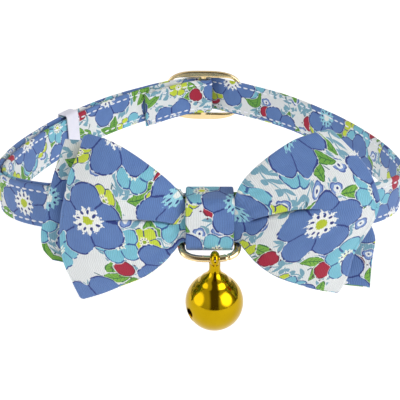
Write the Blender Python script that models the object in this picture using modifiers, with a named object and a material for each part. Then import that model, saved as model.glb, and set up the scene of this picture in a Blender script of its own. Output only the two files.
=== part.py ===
"""Cat collar: a printed cotton strap that closes in a loop, doubled on its left side through an
oval slider, with a plain clasp, a keeper, a two-layer bow under a centre band, a ring and a bell.
Metres, +Z up. The bow faces -Y. The origin is the middle of the neck opening."""

import math

import bmesh
import bpy
import numpy as np
from mathutils import Matrix, Vector

MM = 0.001

# Cloth and the room between pieces that touch
strap_width = 10.0 * MM
strap_thickness = 1.0 * MM
cloth_wall = 1.0 * MM
gap = 0.3 * MM
slot_room = 0.55 * MM

# Neck loop, along the middle of the strap and seen from above
loop_half_width = 46.8 * MM
loop_front_depth = 25.2 * MM
loop_back_depth = 50.5 * MM
loop_front_squareness = 2.09
loop_back_squareness = 1.82

# Height of the strap's middle: the sides sag below the slider and the bow
front_height = -1.4 * MM
side_height = -5.0 * MM
back_height = 0.0 * MM
back_flat = 9.0 * MM
layer_slip = 0.7 * MM
front_rise_power = 2.6
back_rise_power = 1.1

# Oval slider at the back
slider_shift = 1.1 * MM
slider_half_width = 11.7 * MM
slider_rail = 1.95 * MM
slider_half_height = strap_width / 2 + slot_room + slider_rail
slider_thickness = 1.5 * MM
slider_end_bar = 2.2 * MM
slider_centre_bar = 2.0 * MM
slider_edge_round = 0.35 * MM
slider_squareness = 3.0
slot_squareness = 8.0
sewn_end_reach = 19.5 * MM

# Clasp behind the bow's left wing
clasp_distance = 18.0 * MM
clasp_length = 18.0 * MM
clasp_rail = 1.8 * MM
clasp_bar = 1.8 * MM
clasp_slot = 3.2 * MM
clasp_thickness = 2.4 * MM
clasp_bar_thickness = 1.6 * MM
sewn_front_reach = 6.3 * MM

# Keeper round the doubled strap
keeper_distance = 45.0 * MM
keeper_width = 4.3 * MM

# Bow and its centre band
bow_shift = 1.9 * MM
bow_left_length = 29.0 * MM
bow_right_length = 31.7 * MM
bow_half_height = 18.0 * MM
back_bow_length = 33.0 * MM
back_bow_half_height = 14.5 * MM
back_bow_tilt = math.radians(4.5)
band_width = 9.4 * MM
band_corner = 1.2 * MM

# Ring in the band's lower fold
ring_wire = 0.55 * MM
ring_half_width = 5.6 * MM
ring_squareness = 2.8
ring_bar_squareness = 5.0
ring_bar_depth = 0.8 * MM
ring_reach = 4.2 * MM
ring_slope = math.radians(24.5)

# Bell that hangs from the ring
bell_radius = 5.9 * MM
bell_wall = 0.5 * MM
bell_drop = 10.05 * MM
bell_eye_width = 2.15 * MM
bell_eye_wall = 0.8 * MM
bell_eye_room = 0.25 * MM
bell_shift = 1.0 * MM
bell_slot_width = 1.1 * MM
bell_slot_end_radius = 1.05 * MM
bell_slot_level = 0.27
bell_slot_turn = math.radians(24.0)

# Stem of the bell from its eye down: shares of the eye's half width and of the bell's drop
bell_stem_top = 0.1
bell_stem = ((0.98, 0.16), (1.06, 0.24), (1.32, 0.31), (1.8, 0.365))
bell_shoulder = 2.06

# Fineness of the faceted shapes
strap_step = 2.6 * MM
slider_step = 0.8 * MM
turn_steps = 8
bar_wrap_lead = 0.25
slider_points = 40
slot_points = 48
ring_points = 48
bell_points = 28
bell_rows = 16
cut_room = 1.001

# Bow outline from the centre out: shares of the wing's length, then of half its height. The wing's
# back wall ends lower at its top, by rear_drop
wing_columns = (
    "share left_top left_bottom left_crease right_top right_bottom right_crease "
    "upper_puff lower_puff crease_depth back_puff rear_drop"
).split()
wing_rows = (
    (0.00, 0.18, -0.27, 0.00, 0.18, -0.27, 0.00, 0.00, 0.00, 0.0, 0.00, 0.00),
    (0.22, 0.19, -0.28, -0.06, 0.19, -0.28, -0.04, 0.00, 0.00, 0.2, 0.00, 0.02),
    (0.28, 0.33, -0.37, -0.05, 0.39, -0.36, 0.00, 0.05, 0.04, 0.5, 0.01, 0.05),
    (0.36, 0.47, -0.49, 0.01, 0.56, -0.48, 0.08, 0.10, 0.08, 0.8, 0.04, 0.09),
    (0.50, 0.65, -0.63, 0.07, 0.75, -0.62, 0.18, 0.15, 0.12, 0.9, 0.07, 0.11),
    (0.70, 0.85, -0.75, 0.10, 0.94, -0.73, 0.24, 0.17, 0.13, 0.5, 0.09, 0.11),
    (0.85, 0.95, -0.85, 0.11, 1.01, -0.80, 0.24, 0.13, 0.10, 0.2, 0.10, 0.10),
    (1.00, 0.985, -0.955, 0.10, 1.04, -0.87, 0.22, 0.00, 0.00, 0.0, 0.10, 0.07),
)
back_wing_columns = "share left_top left_bottom right_top right_bottom puff".split()
back_wing_rows = (
    (0.00, 0.22, -0.26, 0.22, -0.26, 0.00),
    (0.19, 0.22, -0.26, 0.22, -0.26, 0.00),
    (0.28, 0.50, -0.34, 0.46, -0.34, 0.02),
    (0.42, 0.76, -0.66, 0.76, -0.66, 0.03),
    (0.70, 0.90, -0.96, 0.92, -0.90, 0.05),
    (1.00, 0.93, -0.86, 0.94, -0.94, 0.08),
)

# How far each height of a wing's outer fold reaches, as a share of the wing's length
end_columns = "height left_reach right_reach back_left_reach back_right_reach".split()
end_rows = (
    (0.00, 0.92, 0.845, 0.94, 1.04),
    (0.08, 0.955, 0.88, 0.99, 1.03),
    (0.24, 1.01, 0.91, 1.00, 1.02),
    (0.41, 1.01, 0.995, 0.97, 1.01),
    (0.53, 0.985, 1.02, 0.945, 0.96),
    (0.64, 0.95, 0.97, 0.935, 0.91),
    (0.77, 0.91, 0.88, 0.91, 0.84),
    (0.90, 0.84, 0.77, 0.87, 0.76),
    (1.00, 0.80, 0.705, 0.85, 0.70),
)

# Where the columns of a bow's cloth lie along a wing, and how many rows each lobe has
wing_shares = (0.12, 0.22, 0.28, 0.36, 0.48, 0.60, 0.72, 0.84, 0.93, 1.00)
lobe_rows = 5
back_bow_rows = 6

# Form of the lobes: the strip left over the crease, in rows, the share of the puff that the
# whole lobe has, and how soon the upper lobe rounds off towards its top edge
crease_lip = 0.3
lower_lobe_flat = 0.5
upper_lobe_flat = 0.45
upper_lobe_power = 0.7

# Colours and finish
cloth_white = (0.86, 0.88, 0.90)
cloth_blue = (0.12, 0.23, 0.55)
keeper_white = (0.82, 0.83, 0.90)
pale_gold = (0.86, 0.72, 0.46)
bright_gold = (0.95, 0.68, 0.05)
clasp_grey = (0.62, 0.64, 0.67)


# Helpers for tables and outlines


def table_value(columns, rows, name, share):
    """Value of a named column at a share, on a smooth curve through the rows."""
    at = columns.index(name)
    shares = [row[0] for row in rows]
    values = [row[at] for row in rows]
    share = min(max(share, shares[0]), shares[-1])
    k = min(max(np.searchsorted(shares, share) - 1, 0), len(rows) - 2)
    span = shares[k + 1] - shares[k]
    t = (share - shares[k]) / span

    def slope(i):
        low, high = max(i - 1, 0), min(i + 1, len(rows) - 1)
        return (values[high] - values[low]) / (shares[high] - shares[low])

    start, end = slope(k) * span, slope(k + 1) * span
    return (
        values[k] * (2 * t**3 - 3 * t**2 + 1)
        + start * (t**3 - 2 * t**2 + t)
        + values[k + 1] * (3 * t**2 - 2 * t**3)
        + end * (t**3 - t**2)
    )


def oval_point(angle, half_width, front, back, front_square, back_square):
    """Point of an oval with unlike front and back halves. The front is at -90 degrees."""
    across, along = math.cos(angle), math.sin(angle)
    if along < 0:
        depth, square = front, front_square
    else:
        depth, square = back, back_square
    return (
        math.copysign(half_width * abs(across) ** (2 / square), across),
        math.copysign(depth * abs(along) ** (2 / square), along),
    )


def oval_outline(count, start, *shape):
    return [oval_point(start + 2 * math.pi * k / count, *shape) for k in range(count)]


def rounded_outline(corners, steps):
    """Closed outline through corners given as (first, second, radius), with round corners."""
    points = []
    for k, (x, y, radius) in enumerate(corners):
        here = Vector((x, y))
        before = (Vector(corners[k - 1][:2]) - here).normalized()
        after = (Vector(corners[(k + 1) % len(corners)][:2]) - here).normalized()
        half = before.angle(after) / 2
        centre = here + (before + after).normalized() * radius / math.sin(half)
        first = here + before * radius / math.tan(half) - centre
        last = here + after * radius / math.tan(half) - centre
        turn = first.angle_signed(last)
        for step in range(steps + 1):
            points.append(centre + Matrix.Rotation(-turn * step / steps, 2) @ first)
    return points


# The strap's guide line round the neck


def guide_line():
    """Distances from the front centre and plan points of the neck loop, to the right first."""
    shape = (
        loop_half_width,
        loop_front_depth,
        loop_back_depth,
        loop_front_squareness,
        loop_back_squareness,
    )
    points = np.array(oval_outline(1440, -math.pi / 2, *shape))
    points = np.vstack([points, points[:1]])
    points[:, 1] -= (loop_back_depth - loop_front_depth) / 2
    steps = np.hypot(*np.diff(points, axis=0).T)
    return np.concatenate([[0.0], np.cumsum(steps)]), points


guide_distances, guide_points = guide_line()
loop_length = guide_distances[-1]
loop_front_y = guide_points[0, 1]
loop_widest_y = loop_front_y + loop_front_depth
slider_place = loop_length / 2 - slider_shift
clasp_place = loop_length - clasp_distance


def guide_plan(distance):
    distance = distance % loop_length
    return Vector(
        [np.interp(distance, guide_distances, guide_points[:, axis]) for axis in (0, 1)]
    )


def guide_normal(distance):
    """Outward direction of the loop in plan."""
    ahead = guide_plan(distance + strap_thickness) - guide_plan(distance - strap_thickness)
    ahead.normalize()
    return Vector((ahead.y, -ahead.x))


def guide_height(plan):
    if plan.y < loop_widest_y:
        share = abs(plan.x) / loop_half_width
        return front_height + (side_height - front_height) * share**front_rise_power
    beyond = max(0.0, abs(plan.x) - back_flat)
    share = beyond / (loop_half_width - back_flat)
    return back_height + (side_height - back_height) * share**back_rise_power


def guide_point(distance, outward=0.0, lift=0.0):
    plan = guide_plan(distance)
    height = guide_height(plan) + lift
    plan = plan + guide_normal(distance) * outward
    return Vector((plan.x, plan.y, height))


def guide_frame(distance, outward=0.0):
    """Matrix with X along the loop to the right, Y to the outside and Z across the strap."""
    step = strap_width / 4
    along = (guide_point(distance - step) - guide_point(distance + step)).normalized()
    normal = guide_normal(distance)
    out = Vector((normal.x, normal.y, 0))
    up = along.cross(out).normalized()
    matrix = Matrix((along, out, up)).transposed().to_4x4()
    matrix.translation = guide_point(distance, outward)
    return matrix


# Making objects


def clear_scene():
    for obj in list(bpy.data.objects):
        bpy.data.objects.remove(obj, do_unlink=True)


def new_collection(name):
    collection = bpy.data.collections.new(name)
    bpy.context.scene.collection.children.link(collection)
    return collection


def material(name, colour, roughness, metallic=0.0):
    made = bpy.data.materials.new(name)
    made.use_nodes = True
    shader = made.node_tree.nodes["Principled BSDF"]
    shader.inputs["Base Color"].default_value = (*colour, 1)
    shader.inputs["Roughness"].default_value = roughness
    shader.inputs["Metallic"].default_value = metallic
    return made


def add_object(name, data, place, finish=None, parent=None):
    obj = bpy.data.objects.new(name, data)
    place.objects.link(obj)
    if finish:
        data.materials.append(finish)
    if parent:
        obj.parent = parent
    return obj


def shade_round(mesh, angle=40):
    mesh.shade_smooth()
    mesh.set_sharp_from_angle(angle=math.radians(angle))


def mesh_from(name, bm):
    bmesh.ops.recalc_face_normals(bm, faces=bm.faces)
    mesh = bpy.data.meshes.new(name)
    bm.to_mesh(mesh)
    bm.free()
    return mesh


def cloth(name, columns, rows, shape, wall, finish, parent=None, closed=False):
    """A sheet of cloth: a grid whose points a function places, with its wall made by Solidify.
    A closed sheet joins its last column to its first."""
    bm = bmesh.new()
    across = columns if closed else columns - 1
    bmesh.ops.create_grid(bm, x_segments=across, y_segments=rows - 1, size=1)
    for vert in bm.verts:
        column = round((vert.co.x + 1) / 2 * across) % columns
        row = round((vert.co.y + 1) / 2 * (rows - 1))
        vert.co = shape(column, row)
    if closed:
        bmesh.ops.remove_doubles(bm, verts=bm.verts, dist=1e-7)
    obj = add_object(name, mesh_from(name, bm), parts, finish, parent)
    shell = obj.modifiers.new("wall", "SOLIDIFY")
    shell.thickness = wall
    shell.offset = 0
    shell.use_even_offset = True
    shade_round(obj.data)
    return obj


def evaluated_mesh(obj):
    bpy.context.view_layer.update()
    graph = bpy.context.evaluated_depsgraph_get()
    return bpy.data.meshes.new_from_object(obj.evaluated_get(graph))


def curve_to_mesh(obj, name, finish):
    """The same shape as a mesh object, with the curve's caps welded to its sides."""
    mesh = evaluated_mesh(obj)
    bm = bmesh.new()
    bm.from_mesh(mesh)
    bmesh.ops.remove_doubles(bm, verts=bm.verts, dist=1e-6)
    bm.to_mesh(mesh)
    bm.free()
    solid = add_object(name, mesh, parts, None, obj.parent)
    solid.matrix_world = obj.matrix_world
    bpy.data.objects.remove(obj, do_unlink=True)
    solid.data.materials.clear()
    solid.data.materials.append(finish)
    shade_round(solid.data)
    return solid


def cutter(name, bm, owner):
    """A hidden helper shape in the frame of the piece that it cuts or joins."""
    obj = add_object(name, mesh_from(name, bm), cutters, None, owner)
    obj.hide_render = True
    obj.display_type = "WIRE"
    return obj


def combine(obj, tool, operation):
    step = obj.modifiers.new(tool.name, "BOOLEAN")
    step.operation = operation
    step.object = tool
    step.solver = "EXACT"


def box_mesh(size, centre=(0, 0, 0)):
    bm = bmesh.new()
    place = Matrix.Translation(centre) @ Matrix.Diagonal((*size, 1))
    bmesh.ops.create_cube(bm, size=1, matrix=place)
    return bm


def rod_mesh(radius, length, matrix, segments=24):
    bm = bmesh.new()
    bmesh.ops.create_cone(
        bm,
        cap_ends=True,
        segments=segments,
        radius1=radius,
        radius2=radius,
        depth=length,
        matrix=matrix,
    )
    return bm


# Room that the strap takes at the slider and at the clasp

layer_pitch = strap_thickness + gap
slider_slot_end = slider_half_width - slider_end_bar
bar_wrap_radius = slider_thickness / 2 + gap + strap_thickness / 2
bar_wrap_centre = slider_centre_bar / 2 - bar_wrap_radius * bar_wrap_lead
clasp_wrap_radius = clasp_bar_thickness / 2 + gap + strap_thickness / 2
clasp_wrap_centre = clasp_bar / 2 - clasp_wrap_radius * bar_wrap_lead
clasp_middle = -layer_pitch / 2
clasp_reach = clasp_length / 2 - clasp_bar / 2


def slider_plane():
    """How far the slider's middle lies outside the guide line at its centre."""
    normal = guide_normal(slider_place)
    centre = guide_plan(slider_place)
    ends = [guide_plan(slider_place + side * slider_slot_end) for side in (-1, 1)]
    bow_of_line = min((centre - end).dot(normal) for end in ends)
    return strap_thickness / 2 + gap + slider_thickness / 2 - bow_of_line


slider_outward = slider_plane()
over_bar_rise = slider_outward + bar_wrap_radius + layer_pitch


def running_offset(distance):
    """How far the running strap lies outside the guide line: it climbs over the slider's bar
    and spreads round the clasp's bars."""
    from_bar = abs(distance - slider_place)
    start, end = slider_centre_bar / 2, slider_slot_end - gap
    share = min(max((from_bar - start) / (end - start), 0.0), 1.0)
    climb = over_bar_rise * (1 + math.cos(math.pi * share)) / 2
    return climb + clasp_spread(distance)


def clasp_spread(distance):
    wide = clasp_middle + clasp_wrap_radius
    ends = (clasp_place - clasp_reach, clasp_place + clasp_reach - loop_length)
    near = min(abs(distance - end) for end in ends)
    share = min(max(1 - near / (clasp_length / 2), 0.0), 1.0)
    return wide * share * share * (3 - 2 * share)


def inner_layer(distance):
    """Distance and offset of the layer that runs inside the running strap, one pitch away."""
    step = strap_thickness / 20
    slope = (running_offset(distance + step) - running_offset(distance - step)) / (2 * step)
    length = math.hypot(1, slope)
    apart = layer_pitch + 2 * clasp_spread(distance)
    return distance + apart * slope / length, running_offset(distance) - apart / length


def sewn_offset(distance):
    """Offset of the sewn end, which leaves the bar's inner side for the innermost layer."""
    start, end = slider_centre_bar / 2, slider_slot_end
    share = min(max((distance - slider_place - start) / (end - start), 0.0), 1.0)
    share = (1 - math.cos(math.pi * share)) / 2
    at_bar = slider_outward - bar_wrap_radius
    return at_bar + (-2 * layer_pitch - at_bar) * share


def wrap(centre, middle, radius, side):
    """Half turn round a bar, from its inner side to its outer side. Side 1 turns to the left."""
    turn = []
    for step in range(1, turn_steps):
        angle = math.pi * step / turn_steps
        turn.append(
            (centre + side * radius * math.sin(angle), middle - radius * math.cos(angle))
        )
    return turn


def stretch(start, end):
    """Distances from start to end, close together near the slider."""
    distances = [start]
    ahead = 1 if end > start else -1
    while abs(end - distances[-1]) > 0:
        near = abs(distances[-1] - slider_place) < slider_half_width
        step = slider_step if near else strap_step
        if abs(end - distances[-1]) < 1.5 * step:
            distances.append(end)
            break
        distances.append(distances[-1] + ahead * step)
    return distances


def strap_route():
    """The strap's middle as (distance, outward, share of the layer slip), from its sewn end."""
    bar = slider_place - bar_wrap_centre
    left_bar = clasp_place - clasp_reach
    right_bar = clasp_place + clasp_reach - loop_length
    left_turn = left_bar + clasp_wrap_centre
    right_turn = right_bar - clasp_wrap_centre
    route = []
    for distance in stretch(slider_place + sewn_end_reach, bar):
        route.append((distance, sewn_offset(distance), 0.0))
    for distance, outward in wrap(bar, slider_outward, bar_wrap_radius, -1):
        route.append((distance, outward, 0.0))
    for distance in stretch(bar, left_turn):
        share = (distance - slider_place) / (left_turn - slider_place)
        slip = math.sin(math.pi * min(max(share, 0.0), 1.0)) ** 2
        route.append((*inner_layer(distance), slip))
    for distance, outward in wrap(left_turn, clasp_middle, clasp_wrap_radius, 1):
        route.append((distance, outward, 0.0))
    for distance in stretch(left_turn, right_turn):
        route.append((distance, running_offset(distance), 0.0))
    for distance, outward in reversed(
        wrap(right_turn, clasp_middle, clasp_wrap_radius, -1)
    ):
        route.append((distance, outward, 0.0))
    for distance in stretch(right_turn, right_bar + sewn_front_reach):
        inner = running_offset(distance) - layer_pitch - 2 * clasp_spread(distance)
        route.append((distance, inner, 0.0))
    return route


def make_strap():
    route = strap_route()

    def shape(column, row):
        distance, outward, slip = route[column]
        across = strap_width * (row - 0.5)
        return guide_point(distance, outward, across - layer_slip * slip)

    return cloth("strap", len(route), 2, shape, strap_thickness, strap_cloth)


def make_slider():
    """Oval plate with two slots, drawn flat and stood on its edge across the strap."""
    slot_half_height = strap_width / 2 + slot_room
    square = (slider_squareness, slider_squareness)
    outer = (slider_half_width, slider_half_height, slider_half_height, *square)
    curve = bpy.data.curves.new("slider_outline", "CURVE")
    curve.dimensions = "2D"
    curve.fill_mode = "BOTH"
    curve.extrude = slider_thickness / 2 - slider_edge_round
    curve.bevel_depth = slider_edge_round
    curve.bevel_resolution = 1
    curve.offset = -slider_edge_round
    square = (slot_squareness, slot_squareness)
    opening = (slider_slot_end, slot_half_height, slot_half_height, *square)
    outlines = [oval_outline(slider_points, 0, *outer)]
    round_slots = oval_outline(slot_points, math.pi / slot_points, *opening)
    for side in (-1, 1):
        edge = slider_centre_bar / 2
        slot = [(x, y) for x, y in round_slots if side * x > edge]
        slot.sort(key=lambda point: math.atan2(point[1], side * point[0]))
        top = slot[-1][1]
        slot = [(side * edge, -top)] + slot + [(side * edge, top)]
        outlines.append(slot)
    for outline in outlines:
        spline = curve.splines.new("POLY")
        spline.points.add(len(outline) - 1)
        for point, (x, y) in zip(spline.points, outline):
            point.co = (x, y, 0, 1)
        spline.use_cyclic_u = True
    flat = add_object("slider_flat", curve, parts)
    slider = curve_to_mesh(flat, "slider", gold)
    frame = guide_frame(slider_place, slider_outward)
    slider.matrix_world = frame @ Matrix.Rotation(math.pi / 2, 4, "X")
    return slider


def make_clasp():
    """Plain closed clasp: one plate with a slot at each end for the strap's loops."""
    height = strap_width + 2 * (slot_room + clasp_rail)
    body = box_mesh((clasp_length, clasp_thickness, height))
    clasp = add_object("clasp", mesh_from("clasp", body), parts, clasp_finish)
    ends = [
        guide_point(clasp_place + side * clasp_reach, clasp_middle) for side in (-1, 1)
    ]
    frame = guide_frame(clasp_place)
    frame.translation = (ends[0] + ends[1]) / 2
    clasp.matrix_world = frame
    slot_height = strap_width + 2 * slot_room
    for side in (-1, 1):
        middle = side * (clasp_length / 2 - clasp_bar - clasp_slot / 2)
        hole = box_mesh((clasp_slot, 3 * clasp_thickness, slot_height), (middle, 0, 0))
        combine(clasp, cutter(f"clasp_slot_{side}", hole, clasp), "DIFFERENCE")
        shaved = (clasp_thickness - clasp_bar_thickness) / 2
        for face in (-1, 1):
            centre = (side * clasp_length / 2, face * (clasp_thickness - shaved) / 2, 0)
            size = (2 * clasp_bar, shaved * cut_room, slot_height)
            name = f"clasp_relief_{side}_{face}"
            combine(clasp, cutter(name, box_mesh(size, centre), clasp), "DIFFERENCE")
    return clasp


def make_keeper():
    """Blank ribbon tab closed round both layers of the doubled strap."""
    place = slider_place + keeper_distance
    mid_wall = gap + cloth_wall / 2
    top = strap_width / 2 + mid_wall
    bottom = -strap_width / 2 - layer_slip - mid_wall
    outer = strap_thickness / 2 + mid_wall
    inner = -layer_pitch - strap_thickness / 2 - mid_wall
    corner = cloth_wall / 2 + gap / 2
    corners = [
        (inner, bottom, corner),
        (outer, bottom, corner),
        (outer, top, corner),
        (inner, top, corner),
    ]
    outline = rounded_outline(corners, 2)

    def shape(column, row):
        outward, up = outline[column]
        along = keeper_width * (row / 2 - 0.5)
        return guide_point(place + along, outward, up)

    return cloth(
        "keeper", len(outline), 3, shape, cloth_wall, keeper_cloth, closed=True
    )


# Bow: what each layer leaves for the next, from the strap outwards

back_bow_middle = strap_thickness / 2 + gap + cloth_wall / 2
front_bow_back = back_bow_middle + cloth_wall + gap
front_bow_front = front_bow_back + cloth_wall + gap
band_front = front_bow_front + cloth_wall + gap
fold_radius = (front_bow_front - front_bow_back) / 2


def wing_value(name, share):
    return table_value(wing_columns, wing_rows, name, share)


def wing_reach(side, height):
    length = bow_left_length if side < 0 else bow_right_length
    name = "left_reach" if side < 0 else "right_reach"
    return length * table_value(end_columns, end_rows, name, height)


def lobe_height(side, share, row):
    """Height of a row of the front bow's cloth, counted from its lower edge. Two rows lie
    close together at the crease, where the upper lobe hangs over the lower one."""
    hand = "left" if side < 0 else "right"
    crease = wing_value(f"{hand}_crease", share)
    if row <= lobe_rows:
        low, high, step = wing_value(f"{hand}_bottom", share), crease, row / lobe_rows
    else:
        low, high = crease, wing_value(f"{hand}_top", share)
        step = (row - lobe_rows - 1 + crease_lip) / (lobe_rows - 1 + crease_lip)
    return bow_half_height * (low + (high - low) * step)


def lobe_puff(share, row):
    """How far the front wall stands off the back wall, in shares of half the bow's height."""
    if row <= lobe_rows:
        lobe = math.sin(math.pi * row / lobe_rows)
        sunk = wing_value("crease_depth", share) * (row / lobe_rows) ** 3
        full = lower_lobe_flat + (1 - lower_lobe_flat) * lobe
        return wing_value("lower_puff", share) * full * (1 - sunk)
    step = (row - lobe_rows - 1) / (lobe_rows - 1)
    lobe = max(0.0, math.cos(math.pi / 2 * step)) ** upper_lobe_power
    full = upper_lobe_flat + (1 - upper_lobe_flat) * lobe
    return wing_value("upper_puff", share) * full


def front_bow_stations():
    """Columns of the front bow's loop as (side, share, wall), wall 0 behind to 1 in front."""
    behind = [(share, 0.0) for share in (0.03, *wing_shares)]
    fold = [(1.0, turn) for turn in (0.25, 0.5, 0.75)]
    ahead = [(share, 1.0) for share in reversed(wing_shares)]
    half = behind + fold + ahead
    left = [(-1, *station) for station in half]
    right = [(1, *station) for station in reversed(half)]
    return left + [(1, 0.0, 1.0)] + right


def make_front_bow(parent):
    stations = front_bow_stations()
    rows = 2 * lobe_rows + 1

    def shape(column, row):
        side, share, wall = stations[column]
        height = lobe_height(side, share, row)
        if row > lobe_rows:
            drop = wing_value("rear_drop", share) * (row - lobe_rows) / lobe_rows
            height -= bow_half_height * drop * (1 - wall)
        reach = wing_reach(side, row / (rows - 1)) - fold_radius - cloth_wall / 2
        back = front_bow_back + bow_half_height * wing_value("back_puff", share)
        front = back + 2 * fold_radius + bow_half_height * lobe_puff(share, row)
        if 0 < wall < 1:
            turn = math.pi * wall
            x = side * (reach + fold_radius * math.sin(turn))
            y = -(back + fold_radius - fold_radius * math.cos(turn))
            return Vector((x, y, height))
        return Vector((side * share * reach, -(front if wall else back), height))

    return cloth(
        "bow_front", len(stations), rows, shape, cloth_wall, bow_cloth, parent
    )


def make_back_bow(parent):
    stations = [(-1, share) for share in reversed(wing_shares)]
    stations += [(1, share) for share in (0.0, *wing_shares)]

    def shape(column, row):
        side, share = stations[column]
        hand = "left" if side < 0 else "right"
        at = row / (back_bow_rows - 1)
        low = table_value(back_wing_columns, back_wing_rows, f"{hand}_bottom", share)
        high = table_value(back_wing_columns, back_wing_rows, f"{hand}_top", share)
        puff = table_value(back_wing_columns, back_wing_rows, "puff", share)
        reach = back_bow_length * table_value(end_columns, end_rows, f"back_{hand}_reach", at)
        out = back_bow_middle + bow_half_height * puff
        height = back_bow_half_height * (low + (high - low) * at)
        return Vector((side * share * reach, -out, height))

    back = cloth(
        "bow_back", len(stations), back_bow_rows, shape, cloth_wall, bow_cloth, parent
    )
    back.rotation_euler = (0, back_bow_tilt, 0)
    return back


ring_bar_out = strap_thickness / 2 + gap + cloth_wall + ring_wire + gap
ring_bar_height = (
    bow_half_height * wing_rows[1][wing_columns.index("left_bottom")] - gap - ring_wire
)


def make_centre_band(parent):
    """Band closed round the strap, both bow layers and the ring's bar."""
    half_wall = cloth_wall / 2
    back = strap_thickness / 2 + gap + half_wall
    top = front_height + strap_width / 2 + gap + half_wall
    bottom = ring_bar_height - ring_wire - gap - half_wall
    chin = ring_bar_height + ring_wire
    bar_front = -ring_bar_out - ring_wire
    corners = [
        (back, bottom, band_corner / 2),
        (bar_front, bottom, band_corner / 2),
        (-band_front, chin, band_corner),
        (-band_front, top, band_corner),
        (back, top, band_corner / 2),
    ]
    outline = rounded_outline(corners, 4)

    def shape(column, row):
        y, z = outline[column]
        return Vector((band_width * (row / 2 - 0.5), y, z))

    return cloth(
        "centre_band", len(outline), 3, shape, cloth_wall, bow_cloth, parent, True
    )


def make_ring(parent):
    """D-shaped wire ring: its flat bar lies in the band's lower fold, its bow slopes forward."""
    curve = bpy.data.curves.new("ring", "CURVE")
    curve.dimensions = "3D"
    curve.bevel_depth = ring_wire
    curve.bevel_resolution = 2
    arc_depth = ring_reach - ring_bar_depth
    square = (ring_squareness, ring_bar_squareness)
    shape = (ring_half_width, arc_depth, ring_bar_depth, *square)
    outline = oval_outline(ring_points, math.pi / ring_points, *shape)
    spline = curve.splines.new("POLY")
    spline.points.add(len(outline) - 1)
    for point, (x, y) in zip(spline.points, outline):
        point.co = (x, y - ring_bar_depth, 0, 1)
    spline.use_cyclic_u = True
    ring = add_object("ring", curve, parts, gold, parent)
    ring.location = (0, -ring_bar_out, ring_bar_height)
    ring.rotation_euler = (ring_slope, 0, 0)
    return ring


def bell_profile():
    """Outer profile below the eye, as (radius, height) from the pivot, top to bottom."""
    neck = bell_eye_width / 2
    rows = [(0.0, -bell_stem_top * bell_drop)]
    rows += [(neck * wide, -down * bell_drop) for wide, down in bell_stem]
    start = math.asin(bell_shoulder * neck / bell_radius)
    for step in range(bell_rows + 1):
        angle = start + (math.pi - start) * step / bell_rows
        rows.append(
            (bell_radius * math.sin(angle), bell_radius * math.cos(angle) - bell_drop)
        )
    return [(max(radius, 0.0), height) for radius, height in rows]


def make_bell(pivot):
    """Hollow bell with a round shell, a slot below that ends in two round holes, and an eye."""
    bm = bmesh.new()
    points = [bm.verts.new((radius, 0, height)) for radius, height in bell_profile()]
    for first, second in zip(points, points[1:]):
        bm.edges.new((first, second))
    mesh = bpy.data.meshes.new("bell")
    bm.to_mesh(mesh)
    bm.free()
    bell = add_object("bell", mesh, parts, bell_gold)
    bell.location = pivot
    turned = bell.modifiers.new("turned", "SCREW")
    turned.steps = bell_points
    turned.render_steps = bell_points
    turned.use_merge_vertices = True
    turned.merge_threshold = 0.00001

    eye_radius = ring_wire + bell_eye_room + bell_eye_wall
    sideways = Matrix.Rotation(math.pi / 2, 4, "Y")
    eye = rod_mesh(eye_radius, bell_eye_width, sideways)
    combine(bell, cutter("bell_eye", eye, bell), "UNION")
    hole = rod_mesh(ring_wire + bell_eye_room, 3 * bell_eye_width, sideways)
    combine(bell, cutter("bell_eye_hole", hole, bell), "DIFFERENCE")

    hollow = bmesh.new()
    middle = Matrix.Translation((0, 0, -bell_drop))
    bmesh.ops.create_uvsphere(
        hollow,
        u_segments=bell_points,
        v_segments=bell_rows,
        radius=bell_radius - bell_wall,
        matrix=middle,
    )
    combine(bell, cutter("bell_hollow", hollow, bell), "DIFFERENCE")
    turn = Matrix.Rotation(bell_slot_turn, 4, "Z")
    level = -bell_drop - bell_slot_level * bell_radius
    slot = box_mesh(
        (4 * bell_radius, bell_slot_width, 2 * bell_radius),
        (0, 0, level - bell_radius),
    )
    bmesh.ops.transform(slot, matrix=turn, verts=slot.verts)
    combine(bell, cutter("bell_slot", slot, bell), "DIFFERENCE")
    across = Matrix.Translation((0, 0, level)) @ turn @ sideways
    ends = rod_mesh(bell_slot_end_radius, 4 * bell_radius, across, 16)
    combine(bell, cutter("bell_slot_ends", ends, bell), "DIFFERENCE")
    return bell


# Build

clear_scene()
parts = new_collection("cat_collar")
cutters = new_collection("cat_collar_cutters")

strap_cloth = material("strap_cloth", cloth_white, 0.85)
bow_cloth = material("bow_cloth", cloth_blue, 0.85)
keeper_cloth = material("keeper_cloth", keeper_white, 0.6)
gold = material("pale_gold", pale_gold, 0.22, 1.0)
bell_gold = material("bell_gold", bright_gold, 0.1, 1.0)
clasp_finish = material("clasp_plastic", clasp_grey, 0.4)

make_strap()
make_slider()
make_clasp()
make_keeper()

bow_centre = bpy.data.objects.new("bow_centre", None)
bow_centre.location = (bow_shift, loop_front_y, 0)
parts.objects.link(bow_centre)
make_back_bow(bow_centre)
make_front_bow(bow_centre)
make_centre_band(bow_centre)
make_ring(bow_centre)

ring_front = Vector((bell_shift, -ring_bar_out, ring_bar_height))
ring_front += Vector((0, -math.cos(ring_slope), -math.sin(ring_slope))) * ring_reach
make_bell(bow_centre.location + ring_front)
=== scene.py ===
"""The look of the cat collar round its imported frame: printed cloth strap and bow, stitches, pale gold
slider and ring, bright gold bell. Metres, +Z up. The bow faces -Y."""

import math

import bmesh
import bpy
import numpy as np
from mathutils import Matrix, Vector


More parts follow.
